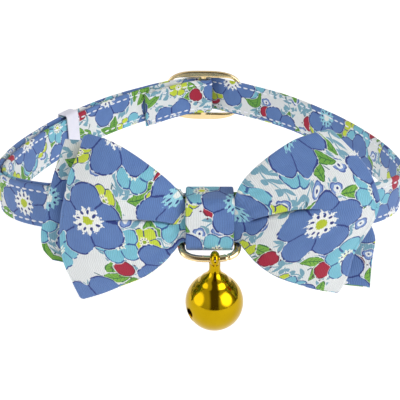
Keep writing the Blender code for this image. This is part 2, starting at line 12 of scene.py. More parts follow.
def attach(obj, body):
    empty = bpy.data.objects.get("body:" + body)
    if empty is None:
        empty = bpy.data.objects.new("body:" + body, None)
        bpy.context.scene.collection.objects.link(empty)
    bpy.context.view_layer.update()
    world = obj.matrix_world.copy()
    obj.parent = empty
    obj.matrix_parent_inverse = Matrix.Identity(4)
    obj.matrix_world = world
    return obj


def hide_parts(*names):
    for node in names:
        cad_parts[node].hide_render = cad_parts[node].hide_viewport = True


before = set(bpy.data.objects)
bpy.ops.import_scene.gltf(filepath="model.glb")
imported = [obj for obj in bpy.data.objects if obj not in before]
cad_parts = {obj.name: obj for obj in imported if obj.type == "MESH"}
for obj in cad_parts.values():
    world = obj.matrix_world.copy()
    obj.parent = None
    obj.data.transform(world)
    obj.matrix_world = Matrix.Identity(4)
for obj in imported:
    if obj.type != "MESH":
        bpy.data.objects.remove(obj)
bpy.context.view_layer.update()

MM = 0.001

# Sizes shared with the solids
strap_width = 10.0 * MM
strap_thickness = 1.0 * MM
cloth_wall = 1.0 * MM
gap = 0.3 * MM
slot_room = 0.55 * MM
loop_half_width = 46.8 * MM
loop_front_depth = 25.2 * MM
loop_back_depth = 50.5 * MM
loop_front_squareness = 2.09
loop_back_squareness = 1.82
front_height = -1.4 * MM
side_height = -5.0 * MM
back_height = 0.0 * MM
back_flat = 9.0 * MM
layer_slip = 0.7 * MM
front_rise_power = 2.6
back_rise_power = 1.1
slider_shift = 1.1 * MM
slider_half_width = 11.7 * MM
slider_rail = 1.95 * MM
slider_half_height = strap_width / 2 + slot_room + slider_rail
slider_thickness = 1.5 * MM
slider_end_bar = 2.2 * MM
slider_centre_bar = 2.0 * MM
slider_squareness = 3.0
slot_squareness = 8.0
sewn_end_reach = 19.5 * MM
clasp_distance = 18.0 * MM
clasp_length = 18.0 * MM
clasp_rail = 1.8 * MM
clasp_bar = 1.8 * MM
clasp_slot = 3.2 * MM
clasp_thickness = 2.4 * MM
clasp_bar_thickness = 1.6 * MM
sewn_front_reach = 6.3 * MM
keeper_distance = 45.0 * MM
keeper_width = 4.3 * MM
bow_shift = 1.9 * MM
bow_left_length = 29.0 * MM
bow_right_length = 31.7 * MM
bow_half_height = 18.0 * MM
back_bow_length = 33.0 * MM
back_bow_half_height = 14.5 * MM
back_bow_tilt = math.radians(4.5)
band_width = 9.4 * MM
band_corner = 1.2 * MM
ring_wire = 0.55 * MM
ring_half_width = 5.6 * MM
ring_squareness = 2.8
ring_bar_squareness = 5.0
ring_bar_depth = 0.8 * MM
ring_reach = 4.2 * MM
ring_slope = math.radians(24.5)
bell_radius = 5.9 * MM
bell_wall = 0.5 * MM
bell_drop = 10.05 * MM
bell_eye_width = 2.15 * MM
bell_eye_wall = 0.8 * MM
bell_eye_room = 0.25 * MM
bell_shift = 1.0 * MM
bell_slot_width = 1.1 * MM
bell_slot_end_radius = 1.05 * MM

# Bow outline from the centre out: shares of the wing's length, then of half its height
wing_columns = (
    "share left_top left_bottom left_crease right_top right_bottom right_crease "
    "upper_puff lower_puff back_puff rear_drop"
).split()
wing_rows = (
    (0.00, 0.18, -0.27, 0.00, 0.18, -0.27, 0.00, 0.00, 0.00, 0.00, 0.00),
    (0.22, 0.19, -0.28, -0.06, 0.19, -0.28, -0.04, 0.00, 0.00, 0.00, 0.02),
    (0.28, 0.33, -0.37, -0.05, 0.39, -0.36, 0.00, 0.05, 0.04, 0.01, 0.05),
    (0.36, 0.47, -0.49, 0.01, 0.56, -0.48, 0.08, 0.10, 0.08, 0.04, 0.09),
    (0.50, 0.65, -0.63, 0.07, 0.75, -0.62, 0.18, 0.15, 0.12, 0.07, 0.11),
    (0.70, 0.85, -0.75, 0.10, 0.94, -0.73, 0.24, 0.17, 0.13, 0.09, 0.11),
    (0.85, 0.95, -0.85, 0.11, 1.01, -0.80, 0.24, 0.13, 0.10, 0.10, 0.10),
    (1.00, 0.985, -0.955, 0.10, 1.04, -0.87, 0.22, 0.00, 0.00, 0.10, 0.07),
)
back_wing_columns = "share left_top left_bottom right_top right_bottom puff".split()
back_wing_rows = (
    (0.00, 0.22, -0.26, 0.22, -0.26, 0.00),
    (0.19, 0.22, -0.26, 0.22, -0.26, 0.00),
    (0.28, 0.50, -0.34, 0.46, -0.34, 0.02),
    (0.42, 0.76, -0.66, 0.76, -0.66, 0.03),
    (0.70, 0.90, -0.96, 0.92, -0.90, 0.05),
    (1.00, 0.93, -0.86, 0.94, -0.94, 0.08),
)

# How far each height of a wing's outer fold reaches, as a share of the wing's length
end_columns = "height left_reach right_reach back_left_reach back_right_reach".split()
end_rows = (
    (0.00, 0.92, 0.845, 0.94, 1.04),
    (0.08, 0.955, 0.88, 0.99, 1.03),
    (0.24, 1.01, 0.91, 1.00, 1.02),
    (0.41, 1.01, 0.995, 0.97, 1.01),
    (0.53, 0.985, 1.02, 0.945, 0.96),
    (0.64, 0.95, 0.985, 0.935, 0.91),
    (0.77, 0.91, 0.915, 0.91, 0.84),
    (0.90, 0.84, 0.80, 0.87, 0.76),
    (1.00, 0.80, 0.705, 0.85, 0.70),
)

# Finer forms that only the look has
strap_step = 0.7 * MM
slider_step = 0.35 * MM
turn_steps = 20
line_step = 0.25 * MM
soften_points = 6
soften_width = 2.2
keep_every = 3
end_round = 0.5 * MM
edge_waver = 0.03 * MM
waver_lengths = (5.3 * MM, 3.1 * MM)
strap_crown = 0.05 * MM
strap_sink = 0.02 * MM
stitch_inset = 1.35 * MM
stitch_length = 1.45 * MM
stitch_pitch = 2.1 * MM
stitch_radius = 0.2 * MM
stitch_start = 1.0 * MM
stitch_phase = {-1: 0.3, 1: 0.125}
stitch_sink = 0.16 * MM
stitch_waver = 0.048 * MM
stitch_wide, stitch_high = 0.8, 1.15
stitch_sides, stitch_rings = 8, 7
stitch_valley = 0.14 * MM
stitch_valley_width = 0.42 * MM
bow_sheet = 0.8 * MM
sewn_end_droop = 1.5 * MM
lobe_rows = 22
lip_step = 0.2 * MM
lip_least, lip_more = 0.12 * MM, 0.38 * MM
slit_least, slit_more = 0.05 * MM, 0.62 * MM
tuck_least, tuck_more = 0.05 * MM, 2.0 * MM
tuck_room = 0.5 * MM
cloth_gather = 0.16 * MM
lip_puff = 0.5 + 0.5 * math.sin(0.75 * math.pi)
fold_fade = {-1: (0.45, 0.88), 1: (0.52, 0.74)}
back_tuck = {-1: 0.3, 1: 0.12}
back_rows = 26
back_wave = 0.25 * MM
band_front_corner = 0.7 * MM
keeper_wall = 0.45 * MM
slider_edge_round = 0.45 * MM
clasp_edge_round = 0.3 * MM
ring_points = 200
ring_sides = 20
ring_flatness = 1.3
ring_joint_place = (0.62, 0.86)
ring_notch, ring_notch_width = 0.28, 1.1
ring_bead, ring_bead_width = 0.05, 1.5
bell_segments = 96
bell_edge_round = 0.09 * MM
bell_groove_place = (0.05 * MM, -1.6 * MM, -1.2 * MM)
bell_groove_size = (0.34 * MM, 2.4 * MM, 5.4 * MM)
bell_slot_level = 0.1
bell_slot_turn = math.radians(31.0)
bell_shoulder = 3.3 * MM

# The bell's stem from the eye down: radius and depth in millimetres
bell_stem = (
    (1.0, 0.3), (1.12, 0.9), (1.12, 2.1), (1.2, 2.6), (1.36, 3.0), (1.64, 3.4), (2.1, 3.85), (2.7, 4.35),
)


def smooth(low, high, x):
    t = np.clip((x - low) / (high - low), 0, 1)
    return t * t * (3 - 2 * t)


def table_value(columns, rows, name, share):
    """Value of a named column at a share, on a smooth curve through the rows."""
    at = columns.index(name)
    shares = [row[0] for row in rows]
    values = [row[at] for row in rows]
    share = min(max(share, shares[0]), shares[-1])
    k = int(min(max(np.searchsorted(shares, share) - 1, 0), len(rows) - 2))
    span = shares[k + 1] - shares[k]
    t = (share - shares[k]) / span

    def slope(i):
        low, high = max(i - 1, 0), min(i + 1, len(rows) - 1)
        return (values[high] - values[low]) / (shares[high] - shares[low])

    start, end = slope(k) * span, slope(k + 1) * span
    return (
        values[k] * (2 * t**3 - 3 * t**2 + 1)
        + start * (t**3 - 2 * t**2 + t)
        + values[k + 1] * (3 * t**2 - 2 * t**3)
        + end * (t**3 - t**2)
    )


def oval_point(angle, half_width, front, back, front_square, back_square):
    across, along = math.cos(angle), math.sin(angle)
    if along < 0:
        depth, square = front, front_square
    else:
        depth, square = back, back_square
    return (
        math.copysign(half_width * abs(across) ** (2 / square), across),
        math.copysign(depth * abs(along) ** (2 / square), along),
    )


def oval_outline(count, start, *shape):
    return [oval_point(start + 2 * math.pi * k / count, *shape) for k in range(count)]


def path_length(points):
    steps = np.linalg.norm(np.diff(points, axis=0), axis=1)
    return np.concatenate([[0], np.cumsum(steps)])


def even_points(points, count=None, step=None):
    """A closed outline with its points spaced evenly along it, and its length."""
    ring = np.array([tuple(p) for p in points])
    ring = np.vstack([ring, ring[:1]])
    way = path_length(ring)
    count = count or int(way[-1] / step)
    at = np.arange(count) / count * way[-1]
    return np.stack([np.interp(at, way, ring[:, k]) for k in (0, 1)], 1), way[-1]


def even_oval(count, *shape):
    return even_points(oval_outline(4000, 0, *shape), count)[0]


# The neck loop


def guide_line():
    depths = (loop_front_depth, loop_back_depth)
    shape = (loop_half_width, *depths, loop_front_squareness, loop_back_squareness)
    points = np.array(oval_outline(2880, -math.pi / 2, *shape))
    points = np.vstack([points, points[:1]])
    points[:, 1] -= (loop_back_depth - loop_front_depth) / 2
    return path_length(points), points


guide_distances, guide_points = guide_line()
loop_length = guide_distances[-1]
loop_front_y = guide_points[0, 1]
loop_widest_y = loop_front_y + loop_front_depth
slider_place = loop_length / 2 - slider_shift
clasp_place = loop_length - clasp_distance


def guide_plan(distance):
    distance = distance % loop_length
    return Vector(
        [np.interp(distance, guide_distances, guide_points[:, axis]) for axis in (0, 1)]
    )


def guide_normal(distance):
    ahead = guide_plan(distance + strap_thickness) - guide_plan(distance - strap_thickness)
    ahead.normalize()
    return Vector((ahead.y, -ahead.x))


def guide_height(plan):
    if plan.y < loop_widest_y:
        share = abs(plan.x) / loop_half_width
        return front_height + (side_height - front_height) * share**front_rise_power
    beyond = max(0.0, abs(plan.x) - back_flat)
    share = beyond / (loop_half_width - back_flat)
    return back_height + (side_height - back_height) * share**back_rise_power


def guide_point(distance, outward=0.0, lift=0.0):
    plan = guide_plan(distance)
    height = guide_height(plan) + lift
    plan = plan + guide_normal(distance) * outward
    return Vector((plan.x, plan.y, height))


def guide_frame(distance, outward=0.0):
    """Matrix with X along the loop to the right, Y to the outside and Z across the strap."""
    step = strap_width / 4
    along = (guide_point(distance - step) - guide_point(distance + step)).normalized()
    normal = guide_normal(distance)
    out = Vector((normal.x, normal.y, 0))
    up = along.cross(out).normalized()
    matrix = Matrix((along, out, up)).transposed().to_4x4()
    matrix.translation = guide_point(distance, outward)
    return matrix


layer_pitch = strap_thickness + gap
slider_slot_end = slider_half_width - slider_end_bar
bar_wrap_radius = slider_thickness / 2 + gap + strap_thickness / 2
bar_wrap_centre = slider_centre_bar / 2 - bar_wrap_radius / 4
clasp_wrap_radius = clasp_bar_thickness / 2 + gap + strap_thickness / 2
clasp_wrap_centre = clasp_bar / 2 - clasp_wrap_radius / 4
clasp_middle = -layer_pitch / 2
clasp_reach = clasp_length / 2 - clasp_bar / 2


def slider_plane():
    normal = guide_normal(slider_place)
    centre = guide_plan(slider_place)
    ends = [guide_plan(slider_place + side * slider_slot_end) for side in (-1, 1)]
    bow_of_line = min((centre - end).dot(normal) for end in ends)
    return strap_thickness / 2 + gap + slider_thickness / 2 - bow_of_line


slider_outward = slider_plane()
over_bar_rise = slider_outward + bar_wrap_radius + layer_pitch


def clasp_spread(distance):
    wide = clasp_middle + clasp_wrap_radius
    ends = (clasp_place - clasp_reach, clasp_place + clasp_reach - loop_length)
    near = min(abs(distance - end) for end in ends)
    share = min(max(1 - near / (clasp_length / 2), 0.0), 1.0)
    return wide * share * share * (3 - 2 * share)


def running_offset(distance):
    from_bar = abs(distance - slider_place)
    start, end = slider_centre_bar / 2, slider_slot_end - gap
    share = min(max((from_bar - start) / (end - start), 0.0), 1.0)
    climb = over_bar_rise * (1 + math.cos(math.pi * share)) / 2
    return climb + clasp_spread(distance)


def inner_layer(distance):
    step = strap_thickness / 20
    slope = (running_offset(distance + step) - running_offset(distance - step)) / (2 * step)
    length = math.hypot(1, slope)
    apart = layer_pitch + 2 * clasp_spread(distance)
    return distance + apart * slope / length, running_offset(distance) - apart / length


def sewn_offset(distance):
    start, end = slider_centre_bar / 2, slider_slot_end
    share = min(max((distance - slider_place - start) / (end - start), 0.0), 1.0)
    share = (1 - math.cos(math.pi * share)) / 2
    at_bar = slider_outward - bar_wrap_radius
    return at_bar + (-2 * layer_pitch - at_bar) * share


def wrap(centre, middle, radius, side):
    """Half turn round a bar, as (distance, outward, slip)."""
    turn = []
    for step in range(1, turn_steps):
        angle = math.pi * step / turn_steps
        across = centre + side * radius * math.sin(angle)
        turn.append((across, middle - radius * math.cos(angle), 0.0))
    return turn


def stretch(start, end):
    distances = [start]
    ahead = 1 if end > start else -1
    while abs(end - distances[-1]) > 0:
        near = abs(distances[-1] - slider_place) < slider_half_width
        step = slider_step if near else strap_step
        if abs(end - distances[-1]) < 1.5 * step:
            distances.append(end)
            break
        distances.append(distances[-1] + ahead * step)
    return distances


def strap_route():
    bar = slider_place - bar_wrap_centre
    left_bar = clasp_place - clasp_reach
    right_bar = clasp_place + clasp_reach - loop_length
    left_turn = left_bar + clasp_wrap_centre
    right_turn = right_bar - clasp_wrap_centre
    route = []
    for distance in stretch(slider_place + sewn_end_reach, bar):
        share = (distance - slider_place) / sewn_end_reach
        slip = sewn_end_droop / layer_slip * float(smooth(0.1, 0.9, share))
        route.append((distance, sewn_offset(distance), slip))
    route += wrap(bar, slider_outward, bar_wrap_radius, -1)
    for distance in stretch(bar, left_turn):
        share = (distance - slider_place) / (left_turn - slider_place)
        slip = math.sin(math.pi * min(max(share, 0.0), 1.0)) ** 2
        route.append((*inner_layer(distance), slip))
    route += wrap(left_turn, clasp_middle, clasp_wrap_radius, 1)
    for distance in stretch(left_turn, right_turn):
        route.append((distance, running_offset(distance), 0.0))
    route += reversed(wrap(right_turn, clasp_middle, clasp_wrap_radius, -1))
    for distance in stretch(right_turn, right_bar + sewn_front_reach):
        inner = running_offset(distance) - layer_pitch - 2 * clasp_spread(distance)
        route.append((distance, inner, 0.0))
    return route


# Shader nodes


def srgb(red, green, blue):
    """Linear colour of an 8-bit screen colour."""
    values = [v / 255 for v in (red, green, blue)]
    return tuple(v / 12.92 if v < 0.04045 else ((v + 0.055) / 1.055) ** 2.4 for v in values)


class Graph:
    """Short calls that add shader nodes to one tree. Values are sockets or numbers."""

    def __init__(self, tree):
        self.tree = tree

    def add(self, kind, **settings):
        made = self.tree.nodes.new(kind)
        for name, value in settings.items():
            setattr(made, name, value)
        return made

    def feed(self, socket, value):
        if isinstance(value, bpy.types.NodeSocket):
            self.tree.links.new(value, socket)
            return
        if socket.type == "RGBA" and len(value) == 3:
            value = (*value, 1)
        socket.default_value = value

    def fill(self, node, **values):
        """Feeds the node's named inputs, with _ for each space in a name."""
        for name, value in values.items():
            self.feed(node.inputs[name.replace("_", " ")], value)
        return node

    def math(self, operation, *values, clamp=False):
        made = self.add("ShaderNodeMath", operation=operation, use_clamp=clamp)
        for socket, value in zip(made.inputs, values):
            self.feed(socket, value)
        return made.outputs[0]

    def plus(self, first, second):
        return self.math("ADD", first, second)

    def minus(self, first, second):
        return self.math("SUBTRACT", first, second)

    def over(self, first, second):
        return self.math("DIVIDE", first, second)

    def times(self, first, *others):
        for value in others:
            first = self.math("MULTIPLY", first, value)
        return first

    def linear(self, value, factor, shift, clamp=False):
        return self.math("MULTIPLY_ADD", value, factor, shift, clamp=clamp)

    def most(self, first, second):
        return self.math("MAXIMUM", first, second)

    def under(self, value, limit):
        return self.math("LESS_THAN", value, limit)

    def size(self, value):
        return self.math("ABSOLUTE", value)

    def part(self, value):
        return self.math("FRACT", value)

    def below(self, value, limit, soft=0.07):
        """1 where value is under limit, with a soft edge."""
        return self.linear(self.minus(limit, value), 1 / soft, 0.5, clamp=True)

    def vector(self, operation, *values):
        made = self.add("ShaderNodeVectorMath", operation=operation)
        for socket, value in zip(made.inputs, values):
            self.feed(socket, value)
        return made.outputs["Value" if operation in ("LENGTH", "DOT_PRODUCT") else "Vector"]

    def scale(self, vector, factor):
        made = self.add("ShaderNodeVectorMath", operation="SCALE")
        self.feed(made.inputs[0], vector)
        return self.fill(made, Scale=factor).outputs["Vector"]

    def split(self, vector):
        made = self.add("ShaderNodeSeparateXYZ")
        self.feed(made.inputs[0], vector)
        return list(made.outputs)

    def join(self, *values):
        made = self.add("ShaderNodeCombineXYZ")
        for socket, value in zip(made.inputs, values):
            self.feed(socket, value)
        return made.outputs[0]

    def mix(self, share, first, second):
        made = self.add("ShaderNodeMix", data_type="RGBA")
        self.feed(made.inputs["Factor"], share)
        colours = [s for s in made.inputs if s.type == "RGBA"]
        self.feed(colours[0], first)
        self.feed(colours[1], second)
        return [s for s in made.outputs if s.type == "RGBA"][0]

    def noise(self, place, scale, detail=2.0, colour=False):
        made = self.fill(self.add("ShaderNodeTexNoise"), Vector=place, Scale=scale, Detail=detail)
        return made.outputs["Color" if colour else "Fac"]

    def turn(self, vector, angle):
        made = self.add("ShaderNodeVectorRotate", rotation_type="Z_AXIS")
        return self.fill(made, Vector=vector, Angle=angle).outputs[0]

    def call(self, group, **values):
        return self.fill(self.add("ShaderNodeGroup", node_tree=group), **values).outputs

    def object_place(self):
        """Place on the object, in millimetres."""
        return self.scale(self.add("ShaderNodeTexCoord").outputs["Object"], 1000.0)


socket_kinds = {"F": "NodeSocketFloat", "V": "NodeSocketVector", "C": "NodeSocketColor"}


def new_group(name, inputs, outputs):
    """A node group. Inputs and outputs are texts such as "V:Place F:Cell"."""
    tree = bpy.data.node_groups.new(name, "ShaderNodeTree")
    for texts, way in ((inputs, "INPUT"), (outputs, "OUTPUT")):
        for text in texts.split():
            kind, label = text.split(":")
            tree.interface.new_socket(name=label, in_out=way, socket_type=socket_kinds[kind])
    graph = Graph(tree)
    return graph, graph.add("NodeGroupInput").outputs, graph.add("NodeGroupOutput")


def scatter_group():
    """Splits the cloth into staggered cells, each with one motif at its own place and turn."""
    g, given, result = new_group(
        "scatter", "V:Place F:Cell F:Turn F:Jitter F:Seed", "V:Local F:Pick F:Size"
    )
    turned = g.turn(given["Place"], given["Turn"])
    x, y, _ = g.split(g.scale(turned, g.over(1.0, given["Cell"])))
    row = g.math("FLOOR", y)
    x = g.plus(x, g.part(g.times(row, 0.5)))
    cell = g.join(g.math("FLOOR", x), row, given["Seed"])
    white = g.add("ShaderNodeTexWhiteNoise", noise_dimensions="3D")
    first, second, third = g.split(g.fill(white, Vector=cell).outputs["Color"])
    other = g.add("ShaderNodeTexWhiteNoise", noise_dimensions="3D")
    g.fill(other, Vector=g.vector("ADD", cell, (17.3, 5.1, 9.7)))
    middle = g.scale(g.join(first, second), given["Jitter"])
    half = g.linear(given["Jitter"], -0.5, 0.5)
    middle = g.vector("ADD", middle, g.join(half, half))
    local = g.vector("SUBTRACT", g.join(g.part(x), g.part(y)), middle)
    local = g.turn(g.scale(local, given["Cell"]), g.times(third, 2 * math.pi))
    size = g.split(other.outputs["Color"])[0]
    g.fill(result, Local=local, Pick=other.outputs["Value"], Size=size)
    return g.tree


def flower_group():
    """Round-petalled flower: masks of its fill, halo, outline, petal seams, and its polar place."""
    g, given, result = new_group(
        "flower",
        "V:Local F:Radius F:Petals F:Notch F:Line",
        "F:Fill F:Halo F:Line F:Seam F:Reach F:Angle F:Distance",
    )
    x, y, _ = g.split(given["Local"])
    distance = g.vector("LENGTH", given["Local"])
    angle = g.math("ARCTAN2", y, x)
    turns = g.times(g.over(angle, 2 * math.pi), given["Petals"])
    from_notch = g.minus(g.part(turns), 0.5)
    wave = g.size(g.math("COSINE", g.times(from_notch, math.pi)))
    wave = g.minus(1.0, g.math("POWER", wave, 3.0))
    edge = g.math("SQRT", g.linear(wave, 0.96, 0.04))
    edge = g.times(g.minus(edge, 1.0), given["Notch"])
    edge = g.times(g.plus(edge, 1.0), given["Radius"])
    fill = g.below(distance, edge)
    around = g.times(g.size(from_notch), distance, 2 * math.pi)
    reach = g.over(distance, given["Radius"])
    seam = g.below(g.over(around, given["Petals"]), given["Line"])
    g.fill(
        result,
        Fill=fill,
        Halo=g.below(distance, g.plus(edge, 0.24), 0.12),
        Line=g.below(g.size(g.minus(distance, edge)), given["Line"]),
        Seam=g.times(seam, g.below(0.4, reach, 0.05), fill),
        Reach=reach,
        Angle=angle,
        Distance=distance,
    )
    return g.tree


def leaf_group():
    """Pointed leaf along X, with its middle vein and side veins."""
    g, given, result = new_group(
        "leaf", "V:Local F:Length F:Width", "F:Fill F:Vein F:Edge F:Halo"
    )
    x, y, _ = g.split(given["Local"])
    side = g.size(y)
    share = g.over(x, given["Length"])
    full = g.most(g.minus(1.0, g.times(share, share)), 0.0)
    width = g.times(g.math("POWER", full, 0.8), g.linear(share, -0.3, 1.0), given["Width"])
    fill = g.below(side, width)
    stripe = g.part(g.times(g.linear(side, 0.9, x), 1.25))
    veins = g.times(g.below(stripe, 0.16, 0.1), g.below(side, g.times(width, 0.72)))
    veins = g.most(veins, g.below(side, 0.1))
    off = g.size(g.minus(side, width))
    g.fill(
        result,
        Fill=fill,
        Vein=g.times(veins, fill, g.below(share, 0.82)),
        Edge=g.times(g.below(off, 0.1), g.below(g.size(share), 1.0)),
        Halo=g.below(side, g.plus(width, 0.3)),
    )
    return g.tree


ground_cream = srgb(229, 233, 234)
ground_shade = srgb(222, 225, 226)
petal_blue = srgb(80, 112, 172)
petal_blue_light = srgb(98, 132, 188)
navy = srgb(40, 58, 128)
lilac = srgb(120, 150, 205)
lilac_line = srgb(70, 96, 165)
aqua = srgb(134, 200, 216)
aqua_deep = srgb(104, 178, 202)
aqua_line = srgb(52, 90, 150)
lime = srgb(184, 200, 44)
lime_light = srgb(206, 224, 70)
lime_heart = srgb(140, 170, 40)
leaf_green = srgb(124, 180, 66)
leaf_middle = srgb(98, 158, 62)
leaf_dark = srgb(44, 110, 52)
leaf_stem = srgb(70, 110, 120)
crimson = srgb(168, 24, 56)
crimson_line = srgb(110, 16, 50)
berry_dot = srgb(90, 40, 80)
sprig_teal = srgb(116, 164, 184)
heart_yellow = srgb(214, 222, 60)

# How each kind of motif is scattered, in millimetres: cell, turn, jitter, seed, share of cells with one
motifs = {
    "sprig": [(9.4, turn, 0.15, seed, 0.85) for turn, seed in ((0.4, 3.0), (1.5, 8.0), (2.5, 13.0))],
    "ring": [(6.6, 0.9, 0.5, 21.0, 0.75)],
    "leaf": [(11.5, 0.2, 0.25, 31.0, 0.85), (12.0, 2.2, 0.3, 36.0, 0.7)],
    "berry": [(13.0, 1.1, 0.45, 41.0, 0.62)],
    "lime": [(12.0, 0.75, 0.4, 52.0, 0.72)],
    "aqua": [(14.0, 2.75, 0.28, 63.0, 0.86)],
    "blue": [(17.2, 0.45, 0.16, 74.0, 2.0)],
}

# Large flowers: kind, radius, its spread, notch, line, petal colours, line colour, rings, hearts
blossoms = (
    ("lime", 2.9, 0.8, 0.3, 0.12, (lime, lime_light), navy, (srgb(240, 240, 214),), (lime_heart,)),
    ("aqua", 4.1, 1.0, 0.3, 0.15, (aqua, aqua_deep), aqua_line, (srgb(232, 238, 226),), (heart_yellow,)),
    (
        "blue", 6.6, 1.6, 0.36, 0.17, (petal_blue, petal_blue_light), navy,
        (srgb(240, 242, 240), srgb(150, 208, 224)), (lime, srgb(236, 240, 236)),
    ),
)
blossom_ring = 0.37
blossom_heart = 0.13
blossom_dot_ring = 0.245
blossom_dot = 0.036


def print_group():
    """Ditsy floral print on cream. Place is in millimetres on the flat cloth."""
    scatter, flower, leaf = scatter_group(), flower_group(), leaf_group()
    g, given, result = new_group("ditsy_print", "V:Place", "C:Color")
    place = drawn = given["Place"]
    for scale, strength in ((0.22, 1.5), (1.7, 0.26)):
        shake = g.vector("SUBTRACT", g.noise(place, scale, 1.0, True), (0.5, 0.5, 0.5))
        drawn = g.vector("ADD", drawn, g.scale(shake, strength))
    drawn = g.join(*g.split(drawn)[:2])
    ragged = g.noise(place, 2.6, 1.0)
    broken = g.below(g.noise(place, 0.75, 1.0), 0.57, 0.04)
    washed = g.noise(place, 0.35, 3.0)

    def laid(kind):
        """Each scatter of one kind of motif: place in its cell, two random numbers, where it is."""
        for cell, turn, jitter, seed, share in motifs[kind]:
            out = g.call(scatter, Place=drawn, Cell=cell, Turn=turn, Jitter=jitter, Seed=seed)
            yield out["Local"], out["Pick"], out["Size"], g.under(out["Pick"], share)

    def paint(colour, here, *layers):
        for mask, ink in layers:
            colour = g.mix(g.times(mask, here), colour, ink)
        return colour

    def dot_ring(out, count, level, squeeze=1.0):
        """Distance to the nearest of a ring of dots round a flower's middle."""
        around = g.minus(g.part(g.times(out["Angle"], count / (2 * math.pi))), 0.5)
        around = g.times(around, out["Distance"], 2 * math.pi / count)
        off = g.times(g.minus(out["Distance"], level), squeeze)
        return g.vector("LENGTH", g.join(around, off))

    colour = g.mix(washed, ground_cream, ground_shade)

    # Teal sprigs: a wavy stem with small leaves on both sides
    for local, _, _, here in laid("sprig"):
        x, y, _ = g.split(local)
        y = g.size(g.minus(y, g.times(g.math("SINE", g.times(x, 0.7)), 0.8)))
        along = g.minus(g.times(g.part(g.over(x, 2.1)), 2.1), 1.05)
        small = g.turn(g.join(along, g.minus(y, 0.85)), -0.75)
        leaves = g.call(leaf, Local=small, Length=1.0, Width=0.5)["Fill"]
        mask = g.times(g.most(g.below(y, 0.13), leaves), g.below(g.size(x), 4.2))
        colour = paint(colour, here, (mask, sprig_teal))

    # Small lilac ring flowers
    for local, _, _, here in laid("ring"):
        out = g.call(flower, Local=local, Radius=1.3, Petals=4.0, Notch=0.25, Line=0.12)
        ring, eye = (g.below(out["Distance"], radius) for radius in (0.72, 0.26))
        layers = ((out["Halo"], ground_cream), (out["Fill"], lilac), (ring, ground_cream), (eye, navy))
        colour = paint(colour, here, *layers, (out["Line"], lilac_line))

    # Pairs of green leaves on a stem
    for local, _, size, here in laid("leaf"):
        x, y, _ = g.split(local)
        y = g.size(y)
        stem = g.times(g.below(y, 0.14), g.below(g.size(g.plus(x, 1.0)), 2.8))
        blade = g.turn(g.join(x, g.minus(y, 1.35)), -0.62)
        out = g.call(leaf, Local=blade, Length=2.7, Width=1.15)
        green = g.mix(size, leaf_green, leaf_middle)
        edge = g.times(out["Edge"], broken)
        layers = ((stem, leaf_stem), (out["Halo"], ground_cream), (out["Fill"], green))
        colour = paint(colour, here, *layers, (out["Vein"], leaf_dark), (edge, leaf_dark))

    # Crimson berries with a dark rim and small dots round them
    for local, _, _, here in laid("berry"):
        out = g.call(flower, Local=local, Radius=1.95, Petals=3.0, Notch=0.06, Line=0.14)
        rim, dot = g.times(out["Line"], broken), g.below(dot_ring(out, 7, 2.45), 0.2)
        layers = ((out["Halo"], ground_cream), (out["Fill"], crimson), (rim, crimson_line))
        colour = paint(colour, here, *layers, (dot, berry_dot))

    # Large flowers: petals, seams, ragged middle with a ring of dots, heart
    for kind, least, spread, notch, line, petals, outline, rings, hearts in blossoms:
        for local, pick, size, here in laid(kind):
            radius = g.linear(size, spread, least)
            out = g.call(flower, Local=local, Radius=radius, Petals=5.0, Notch=notch, Line=line)
            edge = g.most(g.times(out["Line"], broken), out["Seam"])
            spikes = g.part(g.times(out["Angle"], 13 / (2 * math.pi)))
            uneven = g.linear(ragged, 0.22, -0.11)
            rim = g.linear(g.size(g.minus(spikes, 0.5)), 0.2, blossom_ring - 0.08)
            middle = g.below(out["Reach"], g.plus(rim, uneven), 0.02)
            dot = dot_ring(out, 9, g.times(radius, blossom_dot_ring), 0.7)
            dot = g.below(dot, g.times(radius, blossom_dot))
            small = g.plus(blossom_heart, g.times(uneven, 0.4))
            other = g.under(pick, 0.4)
            ring, heart = (c[0] if len(c) == 1 else g.mix(other, *c) for c in (rings, hearts))
            layers = ((out["Halo"], ground_cream), (out["Fill"], g.mix(washed, *petals)))
            layers += ((edge, outline), (middle, ring), (dot, navy))
            colour = paint(colour, here, *layers, (g.below(out["Reach"], small, 0.02), heart))
    g.fill(result, Color=colour)
    return g.tree


def new_material(name, roughness, metallic=0.0):
    made = bpy.data.materials.new(name)
    made.use_nodes = True
    graph = Graph(made.node_tree)
    shader = made.node_tree.nodes["Principled BSDF"]
    return made, graph, graph.fill(shader, Roughness=roughness, Metallic=metallic)


def cloth_uv(graph):
    """Place on the flat cloth, in millimetres."""
    return graph.scale(graph.add("ShaderNodeUVMap", uv_map="cloth").outputs[0], 1000.0)


def weave_height(g, place, pitch):
    """Height of a plain weave with stronger cross ribs, from -1 to 1."""
    uneven = g.linear(g.noise(place, 0.9, 2.0), 0.5, -0.25)
    x, y, _ = g.split(place)
    across = g.math("SINE", g.times(g.plus(x, uneven), 2 * math.pi / pitch))
    down = g.math("SINE", g.times(g.plus(y, uneven), 2 * math.pi / (0.62 * pitch)))
    return g.linear(down, 0.35, across)


def add_bump(g, shader, height, distance):
    bump = g.fill(g.add("ShaderNodeBump"), Strength=1.0, Distance=distance, Height=height)
    g.fill(shader, Normal=bump.outputs[0])


ditsy = print_group()


